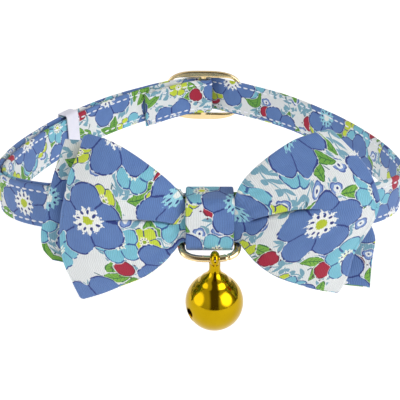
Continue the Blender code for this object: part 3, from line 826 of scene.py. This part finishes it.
def printed_cloth(name, shift, turn, ribs=0.0):
    """Printed cotton: the ditsy print laid at its own shift and turn, with ribs and slubs. The ribs are
    bumped and their shade is also painted into the colour; the slubs are the yarn's own uneven tone.
    """
    made, g, shader = new_material(name, 0.85)
    flat = cloth_uv(g)
    place = g.turn(g.vector("ADD", flat, (*shift, 0.0)), turn)
    colour = g.call(ditsy, Place=place)["Color"]
    weave = weave_height(g, g.turn(flat, ribs), 0.36)
    slubs = g.noise(g.vector("MULTIPLY", flat, (2.2, 0.35, 1.0)), 1.6, 2.0)
    # Painted shade: the weave's ribs make the colour lighter on their crests and darker in their
    # valleys; the slubs are the yarn's own uneven tone.
    rib_shade_and_slubs = g.times(g.linear(weave, 0.1, 0.95), g.linear(slubs, 0.12, 0.94))
    g.fill(shader, Base_Color=g.scale(colour, rib_shade_and_slubs), Sheen_Weight=0.12, Sheen_Roughness=0.5)
    add_bump(g, shader, weave, 0.022 * MM)
    return made


def ribbon_material():
    made, g, shader = new_material("ribbon_white", 0.55)
    flat = cloth_uv(g)
    weave = weave_height(g, flat, 0.22)
    colour = g.mix(g.noise(flat, 0.5, 2.0), srgb(236, 234, 244), srgb(224, 224, 240))
    # Painted shade: the weave makes the colour a little darker in its valleys; the noise between the two
    # whites is the ribbon's own uneven tone.
    g.fill(shader, Base_Color=g.scale(colour, g.linear(weave, 0.02, 0.98)))
    add_bump(g, shader, weave, 0.012 * MM)
    return made


def thread_material():
    made, g, shader = new_material("white_thread", 0.6)
    x, y, _ = g.split(cloth_uv(g))
    twist = g.math("SINE", g.times(g.plus(x, g.times(y, 1.2)), 14.0))
    # Painted shade and highlight: the twist's grooves get a greyer white and its ridges a bright white.
    share = g.linear(twist, 0.5, 0.5)
    g.fill(shader, Base_Color=g.mix(share, srgb(228, 232, 244), srgb(252, 252, 255)))
    add_bump(g, shader, twist, 0.02 * MM)
    return made


def metal_material(name, bright, deep, roughness, scratches):
    """Plated metal with faint waves, fine scratches and a little tarnish."""
    made, g, shader = new_material(name, roughness, 1.0)
    place = g.object_place()
    cloudy = g.noise(place, 0.35, 3.0)
    fine = g.noise(g.vector("MULTIPLY", place, (0.5, 0.5, 7.0)), 3.0, 4.0)
    worn = g.linear(fine, scratches, roughness - scratches / 2)
    g.fill(shader, Base_Color=g.mix(cloudy, bright, deep), Roughness=worn)
    add_bump(g, shader, g.plus(cloudy, g.times(fine, 0.05)), 0.02 * MM)
    return made


def plastic_material():
    made, g, shader = new_material("clasp_plastic", 0.38)
    place = g.object_place()
    grain = g.noise(place, 4.0, 4.0)
    colour = g.mix(g.noise(place, 0.4, 2.0), srgb(206, 209, 214), srgb(190, 194, 200))
    g.fill(shader, Base_Color=colour, Roughness=g.linear(grain, 0.16, 0.3))
    add_bump(g, shader, grain, 0.01 * MM)
    return made


# Meshes


def placed(name, data):
    obj = bpy.data.objects.new(name, data)
    bpy.context.scene.collection.objects.link(obj)
    return obj


def mesh_of(name, bm):
    bmesh.ops.recalc_face_normals(bm, faces=bm.faces)
    mesh = bpy.data.meshes.new(name)
    bm.to_mesh(mesh)
    bm.free()
    return mesh


def baked(obj):
    """The object's shape with its modifiers or bevel, as a bmesh."""
    bpy.context.view_layer.update()
    graph = bpy.context.evaluated_depsgraph_get()
    mesh = bpy.data.meshes.new_from_object(obj.evaluated_get(graph))
    bm = bmesh.new()
    bm.from_mesh(mesh)
    bpy.data.meshes.remove(mesh)
    return bm


def finish_mesh(name, bm, finish, nodes, slot, matrix=None, body="collar", sharp=None):
    mesh = mesh_of(name, bm)
    mesh.shade_smooth()
    mesh.materials.append(finish)
    if matrix is not None:
        mesh.transform(matrix)
    if sharp is not None:
        mesh.set_sharp_from_angle(angle=math.radians(sharp))
    obj = placed(name, mesh)
    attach(obj, body)
    if nodes:
        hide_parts(*nodes)


def skin(points, uvs, closed=False, bm=None):
    """Mesh of closed outlines: points (stations, around, 3), uvs (stations, around + 1, 2). Open
    runs get flat end faces. A closed run joins its last station to its first."""
    count, around = points.shape[:2]
    bm = bm or bmesh.new()
    layer = bm.loops.layers.uv.get("cloth") or bm.loops.layers.uv.new("cloth")
    verts = [bm.verts.new(p) for p in points.reshape(-1, 3)]

    def face(corners, places):
        for loop, place in zip(bm.faces.new([verts[k] for k in corners]).loops, places):
            loop[layer].uv = place

    for i in range(count if closed else count - 1):
        here, there = i * around, (i + 1) % count * around
        for j in range(around):
            beside = (j + 1) % around
            corners = (here + j, here + beside, there + beside, there + j)
            face(corners, (uvs[i, j], uvs[i, j + 1], uvs[i + 1, j + 1], uvs[i + 1, j]))
    if not closed:
        for i in (0, count - 1):
            face(range(i * around, (i + 1) * around), uvs[i, :around])
    return bm


def uv_grid(along, across):
    uvs = np.zeros((len(along), np.shape(across)[-1], 2))
    uvs[:, :, 0] = np.asarray(along)[:, None]
    uvs[:, :, 1] = across
    return uvs


def tangents(points):
    ahead = np.gradient(points, axis=0)
    return ahead / np.linalg.norm(ahead, axis=1)[:, None]


def outward(ahead):
    """Level directions square to each tangent, to its right."""
    side = np.stack([ahead[:, 1], -ahead[:, 0], np.zeros(len(ahead))], 1)
    return side / np.linalg.norm(side, axis=1)[:, None]


def strap_centre():
    """The strap's middle line, smoothed and evenly spaced, with its outward normals in plan."""
    raw = np.array([guide_point(d, o, -layer_slip * s) for d, o, s in strap_route()])
    way = path_length(raw)
    even = np.linspace(0, way[-1], int(way[-1] / line_step))
    line = np.stack([np.interp(even, way, raw[:, k]) for k in range(3)], 1)
    reach = np.arange(-soften_points, soften_points + 1)
    kernel = np.exp(-0.5 * (reach / soften_width) ** 2)
    kernel /= kernel.sum()
    first, last = (np.repeat(end, soften_points, 0) for end in (line[:1], line[-1:]))
    padded = np.vstack([first, line, last])
    soft = np.stack([np.convolve(padded[:, k], kernel, "valid") for k in range(3)], 1)
    return path_length(soft), soft, outward(tangents(soft))


strap_way, strap_line, strap_side = strap_centre()


def strap_profile(count=27):
    """The strap's section as (across, out), with rolled edges and a valley under each seam."""
    half, thick = strap_width / 2, strap_thickness / 2
    flat = half - thick
    across = np.linspace(-flat, flat, count)
    from_seam = (np.abs(across) - (half - stitch_inset)) / stitch_valley_width
    crown = strap_crown * np.cos(across / flat * math.pi / 2)
    out = thick - stitch_valley * np.exp(-(from_seam**2)) + crown - strap_sink
    angles = np.linspace(math.pi / 2, -math.pi / 2, 9)[1:-1]
    edge = np.stack([flat + thick * np.cos(angles), thick * np.sin(angles)], 1)
    front = np.stack([across, out], 1)
    return np.vstack([front, edge, front[::-1] * (1, -1), -edge])


def make_strap():
    profile = strap_profile()
    around = path_length(np.vstack([profile, profile[:1]]))
    last = len(strap_line) - 1
    picked = np.unique(np.append(np.arange(0, last + 1, keep_every), last))
    way, line, side = strap_way[picked], strap_line[picked], strap_side[picked]
    ends = np.clip(np.minimum(way, way[-1] - way) / end_round, 0.08, 1)
    thin = np.sqrt(np.clip(1 - (1 - ends) ** 2, 0, 1))
    slow, quick = (way / length for length in waver_lengths)
    waver = edge_waver * (np.sin(slow) + np.sin(quick + 1.0))
    across, out = profile[None, :, 0], profile[None, :, 1]
    points = line[:, None] + (out * thin[:, None])[:, :, None] * side[:, None]
    points[:, :, 2] += across + waver[:, None] * np.abs(across) / (strap_width / 2)
    bm = skin(points, uv_grid(way, around))
    finish_mesh("strap_cloth", bm, strap_print, ["strap"], "strap_cloth")


def make_stitches():
    """White running stitches near both edges, on both faces of the strap."""
    bm = bmesh.new()
    level = strap_thickness / 2 - stitch_valley + 0.3 * stitch_radius
    count = int((strap_way[-1] - 2 * stitch_start) / stitch_pitch)
    swell = np.sin(np.linspace(0.12, math.pi - 0.12, stitch_rings)) ** 0.45
    angles = 2 * math.pi * np.arange(stitch_sides + 1) / stitch_sides
    wide = stitch_wide * stitch_radius * np.outer(swell, np.cos(angles[:-1]))
    high = stitch_high * stitch_radius * np.outer(swell, np.sin(angles[:-1]))
    for face, edge in ((-1, -1), (-1, 1), (1, -1), (1, 1)):
        for k in range(count):
            start = stitch_start + stitch_pitch * (k + stitch_phase[edge])
            uneven = stitch_waver * math.sin(7.3 * k + edge + 2 * face)
            at = start + stitch_length * np.linspace(0, 1, stitch_rings)
            middle, out = (
                np.stack([np.interp(at, strap_way, line[:, c]) for c in range(3)], 1)
                for line in (strap_line, strap_side)
            )
            middle = middle + out * (face * (level - (1 - swell) * stitch_sink))[:, None]
            middle[:, 2] += edge * (strap_width / 2 - stitch_inset) + uneven
            points = middle[:, None] + wide[:, :, None] * out[:, None]
            points[:, :, 2] += high
            skin(points, uv_grid(at, stitch_radius * angles), bm=bm)
    finish_mesh("strap_stitches", bm, thread, [], "strap_cloth")


def sheet_skin(middle, thickness, uv_across, uv_along, lips=5, closed=False):
    """Thick cloth from a grid of middle points (along, across, 3), with round edges across.
    uv_across holds flat lengths for each point, uv_along one length per station."""
    if closed:
        ahead = np.roll(middle, -1, 0) - np.roll(middle, 1, 0)
    else:
        ahead = np.gradient(middle, axis=0)
    beside = np.gradient(middle, axis=1)
    normal = np.cross(ahead, beside)
    normal /= np.maximum(np.linalg.norm(normal, axis=2), 1e-12)[:, :, None]
    half = thickness / 2
    turns = np.linspace(math.pi / 2, -math.pi / 2, lips + 2)[1:-1]

    def edge(pick, way):
        out = way * beside[:, pick] / np.linalg.norm(beside[:, pick], axis=2)[:, :, None]
        return [
            middle[:, pick] + half * (math.cos(a) * out + way * math.sin(a) * normal[:, pick])
            for a in turns
        ]

    low_edge, high_edge = edge(slice(0, 1), -1), edge(slice(-1, None), 1)
    front, back = middle + half * normal, middle - half * normal
    points = np.concatenate([front] + high_edge + [back[:, ::-1]] + low_edge, 1)
    uv_across = np.broadcast_to(uv_across, (len(uv_along), middle.shape[1]))
    last = uv_across[:, -1:]
    rest = math.pi * half
    lip = rest * np.arange(1, lips + 1)[None, :] / (lips + 1)
    behind = 2 * last + rest - uv_across[:, ::-1]
    turned = behind[:, -1:]
    across = np.concatenate([uv_across, last + lip, behind, turned + lip, turned + rest], 1)
    return skin(points, uv_grid(uv_along, across), closed)


# Bow

back_bow_middle = strap_thickness / 2 + gap + cloth_wall / 2
front_bow_back = back_bow_middle + cloth_wall + gap
front_bow_front = front_bow_back + cloth_wall + gap
band_front = front_bow_front + cloth_wall + gap
fold_radius = (front_bow_front - front_bow_back) / 2
bow_place = Vector((bow_shift, loop_front_y, 0))
bow_lengths = {-1: bow_left_length, 1: bow_right_length}
hands = {-1: "left", 1: "right"}


def wing_value(name, share):
    return bow_half_height * table_value(wing_columns, wing_rows, name, share)


def wing_reach(side, height):
    name = f"{hands[side]}_reach"
    return bow_lengths[side] * table_value(end_columns, end_rows, name, height)


def wing_section(side, share):
    """Rows of the front wall at one share of a wing, from its lower edge up: heights, puffs and
    places between the lower edge (0) and the upper (1). The lower lobe's cloth tucks in behind
    the upper lobe's lip."""
    names = [f"{hands[side]}_{name}" for name in ("bottom", "top", "crease")]
    low, high, crease, upper, lower = (
        wing_value(name, share) for name in names + ["upper_puff", "lower_puff"]
    )
    strong = float(smooth(0.2, 0.3, share) * (1 - smooth(*fold_fade[side], share)))
    slit = slit_least + slit_more * strong
    lip = lip_least + lip_more * strong
    apart = (upper - lower * lip_puff) / 2 - lip_step * strong
    below, above = lower * lip_puff + apart, upper - apart
    tuck = min(tuck_more * strong, below + tuck_room - lip) + tuck_least
    thirds = (0.0, 0.33, 0.67, 1.0)
    turns = np.linspace(0, math.pi / 2, 5)
    rows = []
    for t in np.linspace(0, 1, lobe_rows, endpoint=False):
        height = low + (crease - slit - lip - low) * t
        puff = lower * (0.5 + 0.5 * math.sin(0.75 * math.pi * t)) + apart * t**4
        rows.append((height, puff, 0.5 * t))
    for a in turns:
        height = crease - slit - lip * (1 - math.sin(a))
        rows.append((height, below - lip * (1 - math.cos(a)), 0.5))
    for t in thirds[1:]:
        rows.append((crease - slit * (1 - 0.3 * t), below - lip - tuck * t, 0.5))
    for t in thirds[:-1]:
        puff = below - lip - tuck + (above - below + tuck) * t
        rows.append((crease + slit * (0.7 + 0.3 * t), puff, 0.5))
    for a in turns:
        height = crease + slit + lip * (1 - math.cos(a))
        rows.append((height, above - lip * (1 - math.sin(a)), 0.5))
    for t in np.linspace(0, 1, lobe_rows + 1)[1:]:
        height = crease + slit + lip + (high - crease - slit - lip) * t
        puff = upper * (0.45 + 0.55 * max(0.0, math.cos(math.pi / 2 * t)) ** 0.7)
        rows.append((height, puff - apart * (1 - t) ** 4, 0.5 + 0.5 * t))
    return [np.array(column) for column in zip(*rows)]


def front_bow_middle():
    """Grid of the front bow's cloth middle: from behind the left wing round its end, across the
    front, round the right end and behind again, with each point's place on the flat cloth."""
    shares = np.concatenate([np.linspace(0.03, 0.2, 5), np.linspace(0.22, 1.0, 52)])
    half = [(s, 0.0) for s in shares] + [(1.0, t) for t in np.linspace(0, 1, 9)[1:-1]]
    half += [(s, 1.0) for s in shares[::-1]]
    stations = [(-1, *s) for s in half] + [(1, 0.0, 1.0)] + [(1, *s) for s in reversed(half)]
    grid, along, across = [], [], []
    for side, share, wall in stations:
        heights, puffs, rows = wing_section(side, share)
        lengths = path_length(np.stack([heights, puffs], 1))
        lengths += bow_half_height - lengths[lobe_rows]
        even = np.linspace(0, 1, len(rows))
        plain = heights[0] + (heights[-1] - heights[0]) * even
        drop = wing_value("rear_drop", share) * np.clip(2 * even - 1, 0, 1)
        heights = heights * wall + (plain - drop) * (1 - wall)
        places = rows * wall + even * (1 - wall)
        back = front_bow_back + wing_value("back_puff", share)
        gathered = float(smooth(0.2, 0.3, share) * (1 - smooth(0.3, 0.62, share)))
        line = []
        for height, puff, place in zip(heights, puffs, places):
            reach = wing_reach(side, place) - fold_radius - cloth_wall / 2
            gather = cloth_gather * math.sin(place * 34.0 + side) * gathered
            if 0 < wall < 1:
                turn = math.pi * wall
                x = side * (reach + fold_radius * math.sin(turn))
                y = -(back + fold_radius - fold_radius * math.cos(turn))
            else:
                x = side * share * reach
                y = -(back + (2 * fold_radius + puff + gather) * wall)
            line.append((x, y, height))
        grid.append(line)
        mid_reach = wing_reach(side, 0.5)
        flat = share if wall == 1 else 2 - share
        along.append(side * (mid_reach * flat + 2 * fold_radius * (1 - wall)))
        across.append(lengths)
    return np.array(grid), np.array(along), np.array(across)


def make_front_bow():
    grid, along, across = front_bow_middle()
    bm = sheet_skin(grid + np.array(bow_place), bow_sheet, across, along)
    finish_mesh("bow_front_cloth", bm, bow_print, ["bow_front"], "bow_cloth")


def make_back_bow():
    shares = np.concatenate([np.linspace(0.0, 0.18, 5), np.linspace(0.2, 1.0, 40)])
    stations = [(-1, s) for s in shares[:0:-1]] + [(1, s) for s in shares]
    grid, along = [], []
    for side, share in stations:
        hand = hands[side]
        low, high, puff = (
            table_value(back_wing_columns, back_wing_rows, name, share)
            for name in (f"{hand}_bottom", f"{hand}_top", "puff")
        )
        tucked = float(smooth(0.2, 0.34, share) * (1 - smooth(0.6, 0.9, share)))
        high -= back_tuck[side] * tucked
        line = []
        for at in np.arange(back_rows) / (back_rows - 1):
            reach = back_bow_length * table_value(end_columns, end_rows, f"back_{hand}_reach", at)
            wave = back_wave * math.sin(at * 9.0 + 2 * side) * float(smooth(0.3, 0.8, share))
            out = back_bow_middle + bow_half_height * puff + wave
            line.append((side * share * reach, -out, back_bow_half_height * (low + (high - low) * at)))
        grid.append(line)
        along.append(side * share * back_bow_length)
    turn = np.array(Matrix.Rotation(back_bow_tilt, 3, "Y"))
    grid = np.array(grid) @ turn.T + np.array(bow_place)
    across = np.linspace(0, 2 * back_bow_half_height, back_rows)
    bm = sheet_skin(grid, bow_sheet, across, np.array(along))
    finish_mesh("bow_back_cloth", bm, back_print, ["bow_back"], "bow_cloth")


def rounded_outline(corners, steps):
    """Closed outline through corners given as (first, second, radius), with round corners."""
    points = []
    for k, (x, y, radius) in enumerate(corners):
        here = Vector((x, y))
        before = (Vector(corners[k - 1][:2]) - here).normalized()
        after = (Vector(corners[(k + 1) % len(corners)][:2]) - here).normalized()
        half = before.angle(after) / 2
        centre = here + (before + after).normalized() * radius / math.sin(half)
        first = here + before * radius / math.tan(half) - centre
        last = here + after * radius / math.tan(half) - centre
        turn = first.angle_signed(last)
        for step in range(steps + 1):
            points.append(centre + Matrix.Rotation(-turn * step / steps, 2) @ first)
    return points


ring_bar_out = strap_thickness / 2 + gap + cloth_wall + ring_wire + gap
band_low = wing_rows[1][wing_columns.index("left_bottom")]
ring_bar_height = bow_half_height * band_low - gap - ring_wire
ring_middle = bow_place + Vector((0, -ring_bar_out, ring_bar_height))


def cloth_loop(corners, steps, spacing, columns, width, wall, spot):
    """Cloth bent round to a loop. Corners are (out, up, radius); spot gives the place of a point
    from its shift across the loop, out and up."""
    outline, length = even_points(rounded_outline(corners, steps), step=spacing)
    shares = np.linspace(-0.5, 0.5, columns)
    grid = [[spot(s * (width - wall), out, up) for s in shares] for out, up in outline]
    along = np.linspace(0, length, len(outline) + 1)
    return sheet_skin(np.array(grid), wall, (shares + 0.5) * width, along, closed=True)


def make_band():
    half_wall = cloth_wall / 2
    back = strap_thickness / 2 + gap + half_wall
    top = front_height + strap_width / 2 + gap / 2 + bow_sheet / 2
    bottom = ring_bar_height - ring_wire - gap - half_wall
    chin = ring_bar_height + ring_wire - gap
    corners = [
        (back, bottom, band_corner / 2),
        (-ring_bar_out - ring_wire, bottom, band_corner / 2),
        (-band_front, chin, band_front_corner),
        (-band_front, top, band_front_corner),
        (back, top, band_corner / 2),
    ]

    def spot(shift, out, up):
        return bow_place + Vector((shift, out, up))

    bm = cloth_loop(corners, 8, 0.4 * MM, 21, band_width, bow_sheet, spot)
    finish_mesh("band_cloth", bm, band_print, ["centre_band"], "bow_cloth")


def make_keeper():
    place = slider_place + keeper_distance
    mid_wall = gap + keeper_wall / 2
    top = strap_width / 2 + mid_wall
    bottom = -strap_width / 2 - layer_slip - mid_wall
    outer = strap_thickness / 2 + mid_wall
    inner = -layer_pitch - strap_thickness / 2 - mid_wall
    places = ((inner, bottom), (outer, bottom), (outer, top), (inner, top))
    corners = [(*corner, mid_wall) for corner in places]

    def spot(shift, out, up):
        return guide_point(place + shift, out, up)

    bm = cloth_loop(corners, 6, 0.3 * MM, 13, keeper_width, keeper_wall, spot)
    finish_mesh("keeper_ribbon", bm, ribbon, ["keeper"], "keeper_cloth")


# Metal and plastic

upright = Matrix.Rotation(math.pi / 2, 4, "X")


def make_plate(name, outlines, thickness, edge_round, matrix, finish, nodes, slot):
    """Flat plate of a first outline with holes of the others, its edges rounded."""
    curve = bpy.data.curves.new(name + "_line", "CURVE")
    curve.dimensions = "2D"
    curve.fill_mode = "BOTH"
    curve.extrude = thickness / 2 - edge_round
    curve.bevel_depth = edge_round
    curve.bevel_resolution = 5
    curve.offset = -edge_round
    for outline in outlines:
        spline = curve.splines.new("POLY")
        spline.points.add(len(outline) - 1)
        for point, (x, y) in zip(spline.points, outline):
            point.co = (x, y, 0, 1)
        spline.use_cyclic_u = True
    helper = placed(name + "_line", curve)
    bm = baked(helper)
    bpy.data.objects.remove(helper, do_unlink=True)
    bmesh.ops.remove_doubles(bm, verts=bm.verts, dist=1e-6)
    finish_mesh(name, bm, finish, nodes, slot, matrix, sharp=35)


def make_slider():
    slot_height = strap_width / 2 + slot_room
    square = (slider_squareness, slider_squareness)
    outlines = [even_oval(220, slider_half_width, slider_half_height, slider_half_height, *square)]
    square = (slot_squareness, slot_squareness)
    opening = even_oval(400, slider_slot_end, slot_height, slot_height, *square)
    edge = slider_centre_bar / 2
    for side in (-1, 1):
        slot = [(x, y) for x, y in opening if side * x > edge]
        slot.sort(key=lambda point: math.atan2(point[1], side * point[0]))
        top = slot[-1][1]
        outlines.append([(side * edge, -top)] + slot + [(side * edge, top)])
    matrix = guide_frame(slider_place, slider_outward) @ upright
    finish = (slider_edge_round, matrix, pale_gold, ["slider"], "pale_gold")
    make_plate("slider_plate", outlines, slider_thickness, *finish)


def rounded_box(half_width, half_height, radius, middle=0.0):
    signs = ((-1, -1), (1, -1), (1, 1), (-1, 1))
    corners = [(x * half_width, y * half_height, radius) for x, y in signs]
    return [(x + middle, y) for x, y in rounded_outline(corners, 6)]


def make_clasp():
    slot_height = strap_width / 2 + slot_room
    outlines = [rounded_box(clasp_length / 2, slot_height + clasp_rail, 0.9 * MM)]
    for side in (-1, 1):
        middle = side * (clasp_length / 2 - clasp_bar - clasp_slot / 2)
        outlines.append(rounded_box(clasp_slot / 2, slot_height, 0.4 * MM, middle))
    ends = [guide_point(clasp_place + side * clasp_reach, clasp_middle) for side in (-1, 1)]
    matrix = guide_frame(clasp_place)
    matrix.translation = (ends[0] + ends[1]) / 2
    finish = (clasp_edge_round, matrix @ upright, plastic, ["clasp"], "clasp_plastic")
    make_plate("clasp_plate", outlines, clasp_thickness * 0.8, *finish)


def make_ring():
    arc_depth = ring_reach - ring_bar_depth
    square = (ring_squareness, ring_bar_squareness)
    line = even_oval(ring_points, ring_half_width, arc_depth, ring_bar_depth, *square)
    line = np.stack([line[:, 0], line[:, 1] - ring_bar_depth, np.zeros(ring_points)], 1)
    side = outward(np.roll(line, -1, 0) - np.roll(line, 1, 0))

    # The wire's ends meet at the lower right, with a small notch and a bead beside it
    share, down = ring_joint_place
    joint = np.array([ring_half_width * share, -arc_depth * down - ring_bar_depth])
    place = np.linalg.norm(line[:, :2] - joint, axis=1).argmin()
    away = np.abs(np.arange(ring_points) - place)
    away = np.minimum(away, ring_points - away)
    notch = ring_notch * np.exp(-((away / ring_notch_width) ** 2))
    bead = ring_bead * np.exp(-(((away - 3) / ring_bead_width) ** 2))
    radius = (ring_wire * (1 - notch + bead))[:, None]
    angles = 2 * math.pi * np.arange(ring_sides + 1) / ring_sides
    wide, high = radius * np.cos(angles[:-1]), radius * np.sin(angles[:-1])
    points = line[:, None] + (ring_flatness * wide)[:, :, None] * side[:, None]
    points[:, :, 2] += high
    turn = np.array(Matrix.Rotation(ring_slope, 3, "X"))
    points = points @ turn.T + np.array(ring_middle)
    along = np.linspace(0, 30 * MM, ring_points + 1)
    uvs = uv_grid(along, ring_wire * angles)
    finish_mesh("ring_wire", skin(points, uvs, True), pale_gold, ["ring"], "pale_gold")


def made_by(operation, **settings):
    bm = bmesh.new()
    operation(bm, **settings)
    return bm


def rod(radius, length, matrix, segments):
    size = {"radius1": radius, "radius2": radius, "depth": length, "segments": segments}
    return made_by(bmesh.ops.create_cone, cap_ends=True, matrix=matrix, **size)


def lathe(profile, segments):
    """Closed surface turned from (radius, height) pairs that start and end on the axis."""
    bm = bmesh.new()
    angles = [2 * math.pi * j / segments for j in range(segments)]
    rings = []
    for radius, height in profile:
        spots = [(radius * math.cos(a), radius * math.sin(a), height) for a in angles]
        rings.append([bm.verts.new(spot) for spot in (spots if radius > 1e-6 else [(0, 0, height)])])
    for first, second in zip(rings, rings[1:]):
        for j in range(segments):
            pairs = ((first, j), (second, j), (second, j + 1), (first, j + 1))
            bm.faces.new(list(dict.fromkeys(ring[k % len(ring)] for ring, k in pairs)))
    return bm


def bell_profile():
    """Outer profile below the eye as (radius, height) from the pivot, on a smooth curve."""
    stem = [(wide * MM, -down * MM) for wide, down in bell_stem]
    start = math.asin(bell_shoulder / bell_radius)
    ball = []
    for step in range(49):
        angle = start + (math.pi - start) * step / 48
        wide = max(0.0, bell_radius * math.sin(angle))
        ball.append((wide, bell_radius * math.cos(angle) - bell_drop))
    knots = np.array(stem + ball[:3])
    way = path_length(knots)
    curve = []
    for at in np.linspace(0, way[-2], 24):
        k = int(min(np.searchsorted(way, at, "right") - 1, len(way) - 2))
        t = (at - way[k]) / (way[k + 1] - way[k])
        before, after = knots[max(k - 1, 0)], knots[min(k + 2, len(knots) - 1)]
        a, b = knots[k], knots[k + 1]
        spot = 2 * a + (b - before) * t + (2 * before - 5 * a + 4 * b - after) * t**2
        curve.append(0.5 * (spot + (3 * a - before - 3 * b + after) * t**3))
    return [(0.0, stem[0][1])] + curve + ball[2:]


def make_bell():
    shell = placed("bell_shell", mesh_of("bell_shell", lathe(bell_profile(), bell_segments)))
    ball, box = bmesh.ops.create_uvsphere, bmesh.ops.create_cube
    sideways = Matrix.Rotation(math.pi / 2, 4, "Y")
    eye_radius = ring_wire + bell_eye_room + bell_eye_wall
    turn = Matrix.Rotation(bell_slot_turn, 4, "Z")
    level = -bell_drop - bell_slot_level * bell_radius
    middle = Matrix.Translation((0, 0, -bell_drop))
    inside = bell_radius - bell_wall
    slot = turn @ Matrix.Translation((0, 0, level - bell_radius))
    slot = slot @ Matrix.Diagonal((4 * bell_radius, bell_slot_width, 2 * bell_radius, 1))
    eye = Matrix.Diagonal((bell_eye_width / 2, eye_radius, eye_radius, 1))
    groove = Matrix.Translation(bell_groove_place) @ Matrix.Diagonal((*bell_groove_size, 1))
    across = Matrix.Translation((0, 0, level)) @ turn @ sideways
    tools = [
        made_by(ball, u_segments=64, v_segments=48, radius=1, matrix=eye),
        rod(ring_wire + bell_eye_room, 3 * bell_eye_width, sideways, 48),
        made_by(ball, u_segments=64, v_segments=40, radius=inside, matrix=middle),
        made_by(box, size=1, matrix=slot),
        rod(bell_slot_end_radius, 4 * bell_radius, across, 40),
        made_by(box, size=1, matrix=groove),
    ]
    helpers = [shell]
    for k, tool in enumerate(tools):
        helpers.append(placed(f"bell_tool_{k}", mesh_of(f"bell_tool_{k}", tool)))
        step = shell.modifiers.new(f"step_{k}", "BOOLEAN")
        step.operation = "DIFFERENCE" if k else "UNION"
        step.object = helpers[-1]
        step.solver = "EXACT"
    rounding = shell.modifiers.new("rounding", "BEVEL")
    rounding.width = bell_edge_round
    rounding.segments = 2
    rounding.limit_method = "ANGLE"
    rounding.angle_limit = math.radians(50)
    bm = baked(shell)
    for helper in helpers:
        bpy.data.objects.remove(helper, do_unlink=True)
    hang = Vector((0, -math.cos(ring_slope), -math.sin(ring_slope))) * ring_reach
    matrix = Matrix.Translation(ring_middle + Vector((bell_shift, 0, 0)) + hang)
    finish_mesh("bell_shell_gold", bm, bright_gold, ["bell"], "bell_gold", matrix, "bell", 32)


strap_print = printed_cloth("strap_print", (3.0, 4.0), 0.1)
bow_print = printed_cloth("bow_print", (4.0, 2.0), 0.0)
back_print = printed_cloth("back_bow_print", (41.0, 13.0), 0.4)
band_print = printed_cloth("band_print", (23.0, 57.0), 0.2, math.pi / 2)
ribbon = ribbon_material()
thread = thread_material()
pale_gold = metal_material("pale_gold", srgb(246, 224, 176), srgb(232, 204, 148), 0.16, 0.08)
bright_gold = metal_material("bright_gold", srgb(196, 162, 16), srgb(184, 148, 8), 0.1, 0.03)
plastic = plastic_material()

make_strap()
make_stitches()
make_keeper()
make_slider()
make_clasp()
make_front_bow()
make_back_bow()
make_band()
make_ring()
make_bell()


# Floor, light and camera

floor_size = 2.5
floor_height = -60 * MM
floor_glow = 0.38
world_strength = 0.67
world_seen = (1.46, 1.46, 1.46)

# Soft boxes of the studio: direction, how narrow, brightness
soft_boxes = (((-0.913, -0.265, 0.317), 0.92, 3.1), ((0.743, -0.495, 0.447), 0.92, 4.6))
key_place = Vector((0.40, -0.30, 0.34))
key_size = (0.42, 0.36)
key_power = 0.5

# The camera's place and tilt were fitted to the edges of the strap in the photo
camera_lens = 58.5
camera_place = (0.0, -153.3 * MM, 59.25 * MM)
camera_tilt = 0.46016


def make_floor():
    mesh = mesh_of("floor", made_by(bmesh.ops.create_grid, x_segments=1, y_segments=1, size=floor_size))
    floor = placed("floor", mesh)
    floor.location = (0, 0, floor_height)
    made, g, shader = new_material("floor_pale", 0.9)
    cloud = g.noise(g.add("ShaderNodeTexCoord").outputs["Object"], 3.0, 2.0)
    g.fill(shader, Base_Color=g.mix(cloud, (0.93, 0.93, 0.93), (0.9, 0.9, 0.9)))
    g.fill(shader, Specular_IOR_Level=0.1, Emission_Color=(1, 1, 1), Emission_Strength=floor_glow)
    mesh.materials.append(made)


def make_key_light():
    light = bpy.data.lights.new("key_right", "AREA")
    light.shape = "RECTANGLE"
    light.size, light.size_y = key_size
    light.energy = key_power
    obj = placed("key_right", light)
    obj.location = key_place
    obj.rotation_euler = (-key_place).to_track_quat("-Z", "Y").to_euler()


def make_world():
    """White studio, darker behind the camera and at the right, with two soft boxes. The camera
    itself sees it plain white."""
    world = bpy.data.worlds.new("studio")
    world.use_nodes = True
    bpy.context.scene.world = world
    g = Graph(world.node_tree)
    around = g.add("ShaderNodeTexCoord").outputs["Generated"]
    x, y, z = g.split(around)
    ahead = g.times(g.below(y, -0.05, 0.2), g.below(g.size(x), 0.3, 0.15), 0.9)
    aside = g.times(g.below(0.62, x, 0.3), g.below(-0.1, y, 0.3), 0.75)
    bright = g.mix(g.linear(z, 0.7, 0.7, clamp=True), (0.4, 0.4, 0.4), (1.0, 1.0, 1.0))
    colour = g.mix(g.most(ahead, aside), bright, (0.06, 0.035, 0.015))
    for direction, narrow, strength in soft_boxes:
        inside = g.below(narrow, g.vector("DOT_PRODUCT", around, direction), 0.06)
        colour = g.mix(inside, colour, (strength, strength, strength))
    seen = g.add("ShaderNodeLightPath").outputs["Is Camera Ray"]
    colour = g.mix(seen, colour, world_seen)
    g.fill(world.node_tree.nodes["Background"], Color=colour, Strength=world_strength)


def make_camera():
    data = bpy.data.cameras.new("camera")
    data.lens = camera_lens
    data.sensor_width = 36.0
    data.clip_start = 0.01
    data.clip_end = 20.0
    camera = placed("camera", data)
    camera.location = camera_place
    camera.rotation_euler = (math.pi / 2 - camera_tilt, 0.0, 0.0)
    bpy.context.scene.camera = camera


make_floor()
make_world()
make_key_light()
make_camera()
bpy.context.scene.view_settings.view_transform = "Standard"
